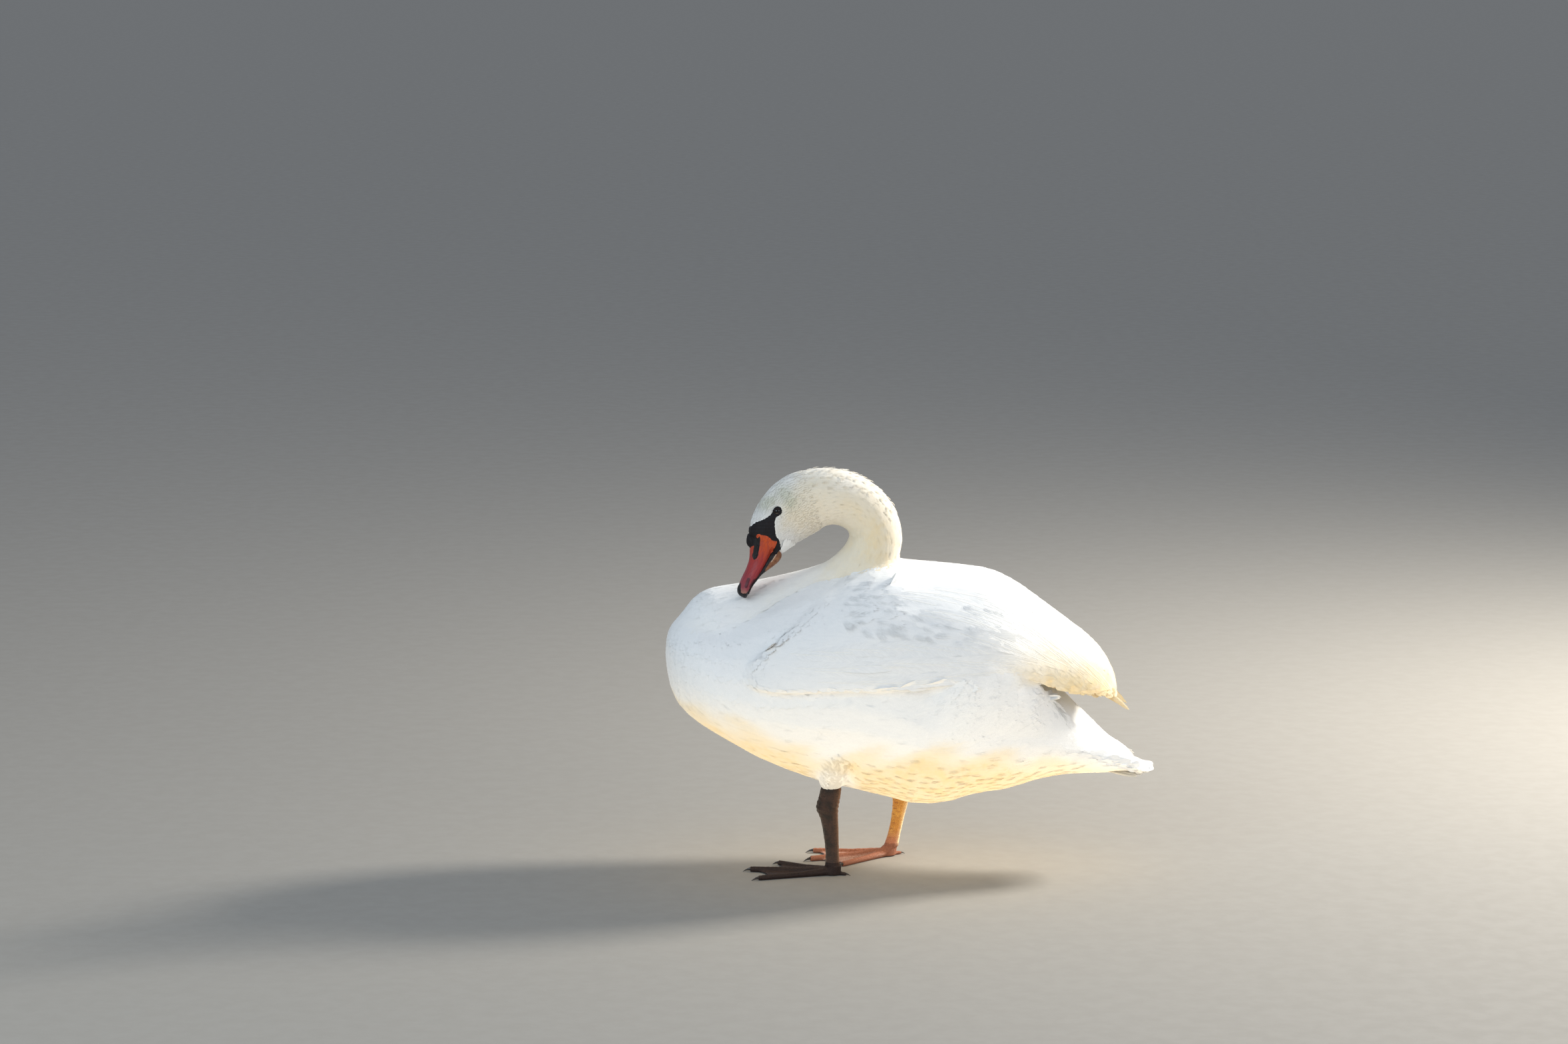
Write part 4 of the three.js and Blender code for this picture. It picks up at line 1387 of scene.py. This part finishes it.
def horn_material():
    m = Nodes("bill_horn")
    local = m.vector("local")
    back = m.split(local)[0]
    grain = m.noise(240, 4)
    streak = m.noise(1.0, 4, m.stretched((0.05, 0.5, 0.5), local))
    red = m.mix(m.ramp(back, 48, 98), (0.33, 0.034, 0.034), (0.50, 0.075, 0.018))
    mauve = m.mix(m.ramp(back, 10, 52), (0.27, 0.05, 0.065), red)
    nail = m.mix(m.ramp(back, 7, 15), (0.36, 0.17, 0.14), mauve)
    worn = m.mix(m.ramp(streak, 0.42, 0.66, 0, 0.42), nail, (0.15, 0.02, 0.035))
    spot = m.times(m.ramp(m.number("spot"), 1.0, -1.0), 0.95)
    spotted = m.mix(spot, worn, (0.075, 0.010, 0.018))
    rough_edge = m.plus(m.number("black"), m.ramp(grain, 0.3, 0.7, -0.35, 0.35))
    is_black = m.ramp(rough_edge, 0.35, -0.35)
    color = m.mix(is_black, spotted, (0.012, 0.011, 0.012))
    m.bump(m.plus(grain, m.times(streak, 2.0)), 0.25, 0.0006)
    rough = m.plus(m.ramp(grain, 0.3, 0.7, 0.36, 0.52), m.times(is_black, 0.08))
    return m.finish(color, rough, Specular_IOR_Level=0.22, Coat_Weight=0.08, Coat_Roughness=0.25)


def lower_material():
    m = Nodes("lower_bill_horn")
    grain = m.noise(260, 4)
    tan = m.mix(m.ramp(grain, 0.35, 0.68), (0.27, 0.12, 0.055), (0.17, 0.065, 0.035))
    # Painted highlight: a pale streak along the lower bill's top edge.
    painted_highlight = m.mix(m.ramp(m.number("streak"), 1.3, 0.3, 0, 0.8), tan, (0.55, 0.38, 0.27))
    color = m.mix(m.ramp(m.number("black"), 0.5, -0.5), painted_highlight, (0.015, 0.012, 0.012))
    m.bump(grain, 0.25, 0.0005)
    return m.finish(color, m.ramp(grain, 0.3, 0.7, 0.42, 0.56), Specular_IOR_Level=0.22)


def bare_skin_material():
    m = Nodes("bare_face")
    pits = m.plus(m.voronoi("F1", 900, m.place), m.noise(500, 3))
    m.bump(pits, 0.4, 0.0004)
    color = m.mix(m.noise(160, 3), (0.006, 0.005, 0.006), (0.014, 0.012, 0.014))
    return m.finish(color, m.ramp(pits, 0.3, 1.2, 0.45, 0.65), Specular_IOR_Level=0.2)


def eye_material():
    m = Nodes("eye_surface")
    ring = m.number("ring")
    fleck = m.noise(900, 3)
    iris = m.mix(fleck, (0.030, 0.014, 0.007), (0.012, 0.006, 0.004))
    color = m.mix(m.ramp(ring, 0.46, 0.54), (0.002, 0.002, 0.002), iris)
    m.bump(fleck, 0.02, 0.0001)
    shine = {"Specular_IOR_Level": 0.2, "Coat_Weight": 0.3, "Coat_Roughness": 0.03}
    return m.finish(color, m.ramp(ring, 0.0, 1.0, 0.04, 0.10), **shine)


def mark_horn(ob, local):
    """What the horn's material reads: the place on the bill, and the distance to its marks."""
    side = local[:, [0, 2]]
    spots = np.minimum(
        segment_distance(side, (29, 4.6), (17.5, 3.6)) - 2.5,
        segment_distance(side, (31, -4.2), (20.5, -2.6)) - 2.1,
    )
    put(ob.data, local=local, black=bill_black(local), spot=spots)


def make_upper_bill():
    rings, out = half_bill(BILL_UPPER, 150, 96, 1.9)
    s, t, u = np.moveaxis(rings, -1, 0)
    side = rings[..., [0, 2]].reshape(-1, 2)
    slit = np.minimum(*(segment_distance(side, end, (78, 12.2)) for end in ((90, 14.5), (64, 8.6))))
    slit = slit.reshape(s.shape)
    push = -2.2 * np.exp(-((slit / 2.0) ** 2)) + 0.45 * np.exp(-(((slit - 4.4) / 1.3) ** 2))
    nail = np.hypot((s - 2) / 13.5, t / 8.5) - 1
    on_top = smooth(u, 2, 6)
    push += on_top * (0.7 * smooth(nail, 0.1, -0.1) - 0.45 * np.exp(-((nail / 0.07) ** 2)))
    over_edge = u - column(BILL_UPPER, s, 2)
    edge = np.exp(-(((over_edge - 1.2) / 1.2) ** 2)) * smooth(s, 10, 24)
    push += edge * (0.45 + 0.16 * np.sin(2 * math.pi * s / 2.6))
    push -= 0.5 * np.exp(-(((over_edge - 3.6) / 1.0) ** 2)) * smooth(s, 10, 30)
    push += 0.12 * np.sin(0.55 * s + 0.8 * t) * np.sin(0.7 * u + 0.2 * s)
    ob, local = tube("bill_horn", rings + out * push[..., None], HORN)
    mark_horn(ob, local)
    declare(ob, "bill", "bill_upper")


def make_knob():
    """The black knob on the bill's base: an egg that sinks into the ridge, a little lumpy."""
    lat = np.linspace(-math.pi / 2 + 0.05, math.pi / 2 - 0.05, 40)[:, None]
    turn = circle(48)
    lump = 1 + 0.035 * np.sin(3 * turn + 5 * lat) + 0.02 * np.sin(7 * turn - 3 * lat)
    back = 84.2 + 11.6 * np.sin(lat) * lump
    aside = 10.4 * np.cos(lat) * np.cos(turn) * lump
    up = 20.2 + 11.6 * np.cos(lat) * np.sin(turn) * lump + 0.3 * (back - 85)
    declare(tube("bill_knob", grid(back, aside, up), BARE)[0], "bill")


def make_lower_bill():
    rings, out = half_bill(BILL_LOWER, 110, 72, 2.0)
    s, t, u = np.moveaxis(rings, -1, 0)
    under_edge = u - column(BILL_LOWER, s, 1)
    push = -0.5 * np.exp(-(((under_edge + 7) / 1.2) ** 2)) * smooth(s, 40, 60)
    push = push + 0.1 * np.sin(0.6 * s + t)
    ob, local = tube("lower_bill_horn", rings + out * push[..., None], lower_material())
    s, _, u = local.T
    brown_top = np.interp(s, [46, 51, 64, 70, 84, 90], [-32, -12.9, -14.6, -16.6, -18.6, -19.8])
    # The line of the painted highlight on the lower bill.
    streak = segment_distance(local[:, [0, 2]], (67, -16.6), (87, -20))
    put(ob.data, black=brown_top - u, streak=streak)
    declare(ob, "lower_bill", "bill_lower")


def head_shell():
    """The head and bill seen from around an axis, with the step between them evened out.

    Returns, on a grid along and around the axis, the places on it and the ways out, in mm.
    """
    verts, faces, _ = joined(["head", "bill_upper", "bill_lower"], 0)
    tree = BVHTree.FromPolygons(verts.tolist(), faces.tolist())
    backs = np.arange(78, 146, 0.6)[:, None]
    turn = circle(300)
    out = grid(0 * backs, np.cos(turn), np.sin(turn))
    axis = grid(backs, 0 * turn, 4)
    outside = 70  # mm from the axis, past the widest of the head
    starts = (from_head(axis + out * outside) * MM).reshape(-1, 3)
    aims = -(out @ HEAD_AXES).reshape(-1, 3)
    hits = [tree.ray_cast(Vector(a), Vector(b)) for a, b in zip(starts, aims)]
    far = np.array([outside * MM if hit[0] is None else hit[3] for hit in hits])
    reach = outside - far.reshape(out.shape[:2]) / MM
    share = smooth(backs, 112, 102)
    for _ in range(40):
        ends = np.concatenate([reach[:1], reach, reach[-1:]])
        reach = reach + share * (0.25 * (ends[:-2] + ends[2:]) - 0.5 * reach)
    return axis + out * reach[..., None], out


def sheet(name, shell, gap, depth, material):
    """A thin sheet of the shell where gap is small, sunk by depth."""
    surface, out = shell
    local = (surface - out * depth[..., None]).reshape(-1, 3)
    quads = grid_quads(*gap.shape)
    quads = quads[(gap.ravel() < 1.6)[quads].all(axis=1)]
    used, quads = np.unique(quads, return_inverse=True)
    mesh = mesh_from(name, from_head(local[used]) * MM, quads.reshape(-1, 4))
    face_outward(mesh, 0.8 * MM)
    shade_smooth(mesh)
    ob = link(name, mesh, [material])
    declare(ob, "bill")
    return ob


def make_face():
    """The bill's base over the head, and the bare black skin up to the eyes. Their rims dip."""
    shell = head_shell()
    s, _, u = np.moveaxis(shell[0], -1, 0)
    side = grid(s, u).reshape(-1, 2)
    gap = outline_distance(side, HORN_BASE).reshape(s.shape)
    base = sheet("bill_horn_base", shell, gap, 0.45 + 2.4 * smooth(gap, -2.4, 1.2), HORN)
    mark_horn(base, to_head(coords(base.data) / MM))
    gap = np.maximum(outline_distance(side, LORE), outline_distance(side, BLACK_BASE) - 0.4)
    gap = gap.reshape(s.shape) + 0.35 * np.sin(u * 2.3) + 0.25 * np.sin(s * 3.1)
    fold = 0.16 * np.sin(s * 1.1 + 0.5 * u) * smooth(gap, 0, -5)
    sheet("bare_face", shell, gap, 0.3 + 1.9 * smooth(gap, -1.2, 1.6) - fold, BARE)


def make_eye(name, side):
    """A wet eyeball with its cornea, and the lid's rim around it, drawn out to the front."""
    centre = np.array([EYE_BACK, side * EYE_ASIDE, EYE_UP])
    out = unit(np.array([-0.10, side, 0.16]))
    front = flat(np.array([-1.0, 0.0, 0.15]), out)
    axes = np.stack([front, np.cross(out, front) * -side, out])

    polar = np.linspace(0.02, math.pi - 0.05, 40)[:, None]
    turn = circle(48)
    radius = EYE_RADIUS * (1 + 0.05 * np.exp(-((polar / 0.45) ** 2)))
    wide = radius * np.sin(polar)
    ball = grid(wide * np.cos(turn), wide * np.sin(turn), radius * np.cos(polar))
    ob, local = tube("eyeball_" + name, ball @ axes + centre, EYE_WET)
    put(ob.data, ring=np.arccos(np.clip(unit(local - centre) @ out, -1, 1)))
    declare(ob, "eye", "eye_" + name)

    along, around = 72, 14
    turn = circle(along)[:, None]
    ahead = np.exp(-((np.sin(turn / 2) / 0.32) ** 2))
    opening = 5.4 + 0.5 * np.cos(2 * turn) + 1.3 * ahead
    thick = 1.8 + 0.2 * np.sin(turn) + 0.7 * ahead + 0.1 * np.sin(9 * turn)
    across = opening + thick * np.cos(circle(around))
    lift = np.sqrt(np.maximum(EYE_RADIUS**2 - opening**2, 1)) + 0.15
    lift = lift + 0.8 * thick * np.sin(circle(around))
    lid = grid(across * np.cos(turn), across * np.sin(turn), lift) @ axes + centre
    places = (from_head(lid) * MM).reshape(-1, 3)
    mesh = mesh_from("eyelid_" + name, places, grid_quads(along, around, True))
    face_outward(mesh)
    declare(link("eyelid_" + name, mesh, [BARE]), "eye")


BARE = bare_skin_material()
EYE_WET = eye_material()
HORN = horn_material()
make_upper_bill()
make_lower_bill()
make_knob()
make_face()
make_eye("left", -1)
make_eye("right", 1)


# ---- Legs and feet ----
# Where each leg is: its side, the x of its hip, hock and heel, and its foot's turn in degrees.
LEGS = {
    "left": {"side": -1, "hip": -112, "hock": -127, "heel": -118, "turn": 8},
    "right": {"side": 1, "hip": 2, "hock": -10, "heel": -30, "turn": 17},
}
# Each toe's angle from the foot's, in degrees, its length and its thickness at the root.
TOES = {
    "inner": (-27, 103, 6.6), "middle": (0, 129, 7.2), "outer": (25, 120, 6.4),
    "hind": (172, 20, 4.2),
}
HOCK_HEIGHT = 106
CLAW_LENGTH, CLAW_RADIUS = 11, 2.5
# How much thicker, in mm, the visual skin is than the solid leg at some heights.
FULLNESS = {
    "left": ([20, 50, 80, 106, 114, 128], [0, 1.0, 1.8, 1.6, 2.4, 3.2]),
    "right": ([62, 108], [0, 1.4]),
}


def foot_point(leg, way, reach, height):
    """A point in mm at a reach along a toe's way and a height, in the row frame."""
    turn = math.radians(leg["turn"]) * leg["side"]
    c, s = math.cos(turn), math.sin(turn)
    x, y = way[0] * reach, way[1] * reach
    return np.array([leg["heel"] + c * x - s * y, leg["side"] * LEG_ASIDE + s * x + c * y, height])


def toe_way(leg, toe):
    angle = math.radians(TOES[toe][0]) * -leg["side"]
    return -math.cos(angle), -math.sin(angle)


def leg_material(name, dark, light, rim, web, creases, foot):
    """Scaly skin: dark and light scales, a painted rim of light on the rear edge, paler or warmer,
    webs and dark creases.
    """
    m = Nodes(name)
    cracks = m.ramp(m.voronoi("DISTANCE_TO_EDGE", 330, m.stretched((1.0, 1.0, 1.5))), 0.0, 0.16)
    fine = m.noise(600, 3)
    tone = m.mix(m.ramp(m.noise(70, 4), 0.35, 0.65), dark, light)
    tone = m.mix(m.ramp(m.split(m.place)[2], 0.05, 0.02), tone, foot)
    # Painted rim light on the rear edge, as if lit from behind.
    tone = m.mix(m.number("rear"), tone, rim)
    tone = m.mix(m.number("web"), tone, web)
    tone = m.mix(m.times(m.math("SUBTRACT", 1.0, cracks), 0.55), tone, creases)
    tone = m.mix(m.number("scute"), tone, creases)
    m.bump(m.plus(cracks, m.times(fine, 0.5)), 0.5, 0.0008)
    return m.finish(tone, m.ramp(fine, 0.3, 0.7, 0.5, 0.7), Specular_IOR_Level=0.3)


def along_toes(leg, co):
    """How far points in mm are from the nearest toe's line, along that toe and from the heel."""
    heel = foot_point(leg, (0, 0), 0, 0)[:2]
    place = co[:, :2] - heel
    near = np.full(len(co), np.inf)
    reach = np.zeros(len(co))
    for toe, (_, length, _) in TOES.items():
        end = foot_point(leg, toe_way(leg, toe), length, 0)[:2] - heel
        way = unit(end)
        along = np.clip(place @ way, 0, np.linalg.norm(end))
        far = np.linalg.norm(place - along[:, None] * way, axis=1)
        near, reach = np.where(far < near, far, near), np.where(far < near, along, reach)
    return near, reach, np.hypot(*place.T)


def bands(places, width):
    """A saw of bands: 0 in the middle of each and 1 at its edges."""
    return np.abs((places / width) % 1 - 0.5) * 2


def make_leg(name, slot, material):
    """A leg and foot in scaly skin, with a web between the toes and plates on shank and toes."""
    leg = LEGS[name]
    nodes = [f"leg_{name}", f"foot_{name}"]
    mesh, _ = one_surface(nodes, 0.45, 1.35)
    co = coords(mesh) / MM
    n = vertex_normals(mesh)
    x, y, z = co.T
    near, reach, from_heel = along_toes(leg, co)
    on_foot = smooth(z, 17, 12)
    on_shank = smooth(z, 14, 22)
    web = on_foot * smooth(near, 4.5, 7.0) * smooth(from_heel, 14, 26)
    plates = smooth(bands(z + 0.12 * y * leg["side"], 4.6), 0.80, 0.98)
    gap_shank = plates * on_shank * (0.35 + 0.65 * smooth(-n[:, 0], 0.1, 0.6))
    on_top = smooth(n[:, 2], 0.1, 0.6) * smooth(reach, 8, 20)
    gap_toe = smooth(bands(reach, 3.4), 0.78, 0.98) * on_foot * (1 - web) * on_top
    around = np.arctan2(y - leg["side"] * LEG_ASIDE, x - leg["hock"])
    knobs = 0.5 * np.exp(-(((z - HOCK_HEIGHT) / 13) ** 2)) * np.sin(0.9 * z + 4.2 * around)
    ridges = 0.25 * web * np.sin(1.3 * near + 0.25 * reach)
    push = np.interp(z, *FULLNESS[name]) - 0.35 - 0.45 * gap_shank - 0.5 * gap_toe + knobs + ridges
    co = co + n * push[:, None]
    co[:, 2] -= co[:, 2].min()
    move(mesh, co * MM)
    mesh.name = "leg_skin_" + name
    ob = link("leg_skin_" + name, mesh, [material])
    line_x = np.interp(z, [0, HOCK_HEIGHT, 200], [leg["heel"], leg["hock"], leg["hip"]])
    # Where the painted rim light lies: the shank's rear edge.
    rear = smooth(x - line_x, 3.0, 9.0) * on_shank * smooth(np.abs(n[:, 1]), 1.1, 0.3)
    put(mesh, rear=rear, web=web, scute=np.maximum(gap_shank, gap_toe) * 0.8)
    declare(ob, slot, *nodes)


def claw_material():
    m = Nodes("claw_horn")
    grain = m.noise(1.0, 3, m.stretched((300, 900, 300)))
    color = m.mix(grain, (0.012, 0.009, 0.008), (0.05, 0.036, 0.028))
    m.bump(grain, 0.3, 0.0003)
    return m.finish(color, m.ramp(grain, 0.3, 0.7, 0.28, 0.45), Coat_Weight=0.2)


def make_claws(name, material):
    """Curved, tapering claws, one on each toe's end, joined in one piece."""
    leg = LEGS[name]
    rings, sides = 12, 14
    share = np.linspace(0, 1, rings)
    turn = circle(sides)[:, None]
    up = np.array([0, 0, 1])
    verts, faces = [], []
    for toe, (_, length, root) in TOES.items():
        size = 0.6 if toe == "hind" else 1.0
        way = toe_way(leg, toe)
        across = np.cross(up, foot_point(leg, way, 1, 0) - foot_point(leg, way, 0, 0))
        radius = CLAW_RADIUS * size * (1 - 0.88 * share**1.3)
        start = root * 0.65 * 0.95
        height = start + (radius[-1] - start) * share**1.7 + 0.4 * np.sin(math.pi * share)
        reach = length - 1.5 + (CLAW_LENGTH * size + 1.5) * share
        ring = []
        for r, h, a in zip(radius, height, reach):
            centre = foot_point(leg, way, a, max(h, r * 1.02))
            ring.append(centre + r * (0.8 * np.cos(turn) * across + np.sin(turn) * up))
        offset = sum(len(v) for v in verts)
        verts.append(capped(np.stack(ring)))
        faces += [[k + offset for k in face] for face in tube_faces(rings, sides)]
    mesh = mesh_from("claws_" + name, np.concatenate(verts) * MM, faces)
    face_outward(mesh)
    nodes = [f"claw_{name}_{toe}" for toe in TOES]
    declare(link("claws_" + name, mesh, [material]), "claw", *nodes)


# Painted shade and sun: one leg colour in two copies, the near left leg shaded dark and the far
# right leg sunlit ochre.
SHADED_LEG = leg_material(
    "shaded_leg_skin", (0.014, 0.008, 0.006), (0.044, 0.020, 0.013), (0.15, 0.062, 0.026),
    (0.045, 0.024, 0.019), (0.006, 0.004, 0.003), (0.036, 0.018, 0.013),
)
SUNLIT_LEG = leg_material(
    "sunlit_leg_skin", (0.50, 0.22, 0.035), (0.62, 0.32, 0.06), (0.80, 0.66, 0.42),
    (0.50, 0.30, 0.235), (0.24, 0.075, 0.025), (0.37, 0.145, 0.085),
)
CLAW_HORN = claw_material()
make_leg("left", "dark_skin", SHADED_LEG)
make_leg("right", "ochre_skin", SUNLIT_LEG)
for leg_name in LEGS:
    make_claws(leg_name, CLAW_HORN)


# ---- Light and floor ----
def area_light(name, place, aim, size, power, color):
    data = bpy.data.lights.new(name, "AREA")
    data.size = size
    data.energy = power
    data.color = color
    lamp = link(name, data)
    lamp.location = place
    lamp.rotation_euler = (Vector(aim) - Vector(place)).to_track_quat("-Z", "Y").to_euler()
    lamp.visible_camera = False


def light_and_floor():
    area_light("key", (2.5, 1.1, 1.85), (0, 0, 0.3), 0.6, 175, (1.0, 0.94, 0.84))
    area_light("fill", (-2.6, -3.0, 2.0), (0, 0, 0.3), 2.4, 60, (0.80, 0.93, 1.0))
    area_light("bounce", (-0.02, -0.06, 0.02), (-0.02, -0.06, 0.5), 1.3, 6.4, (1.0, 0.86, 0.64))
    area_light("rear_fill", (2.0, -2.4, 1.5), (0.15, 0, 0.28), 1.6, 18, (1.0, 0.95, 0.90))
    world = bpy.data.worlds.new("studio")
    world.use_nodes = True
    back = world.node_tree.nodes["Background"]
    back.inputs["Color"].default_value = (0.80, 0.88, 1.0, 1)
    back.inputs["Strength"].default_value = 0.55
    SCENE.world = world
    m = Nodes("floor")
    grit = m.noise(30, 5)
    m.bump(grit, 0.2, 0.002)
    tone = m.mix(m.ramp(grit, 0.3, 0.7, 0, 0.25), (0.30, 0.285, 0.26), (0.26, 0.245, 0.22))
    m.finish(tone, m.ramp(grit, 0.3, 0.7, 0.85, 0.95))
    bm = bmesh.new()
    bmesh.ops.create_circle(bm, cap_ends=True, segments=96, radius=60)
    mesh = bpy.data.meshes.new("floor")
    bm.to_mesh(mesh)
    bm.free()
    floor = link("floor", mesh, [m.material])
    SCENE.view_settings.view_transform = "Standard"


light_and_floor()
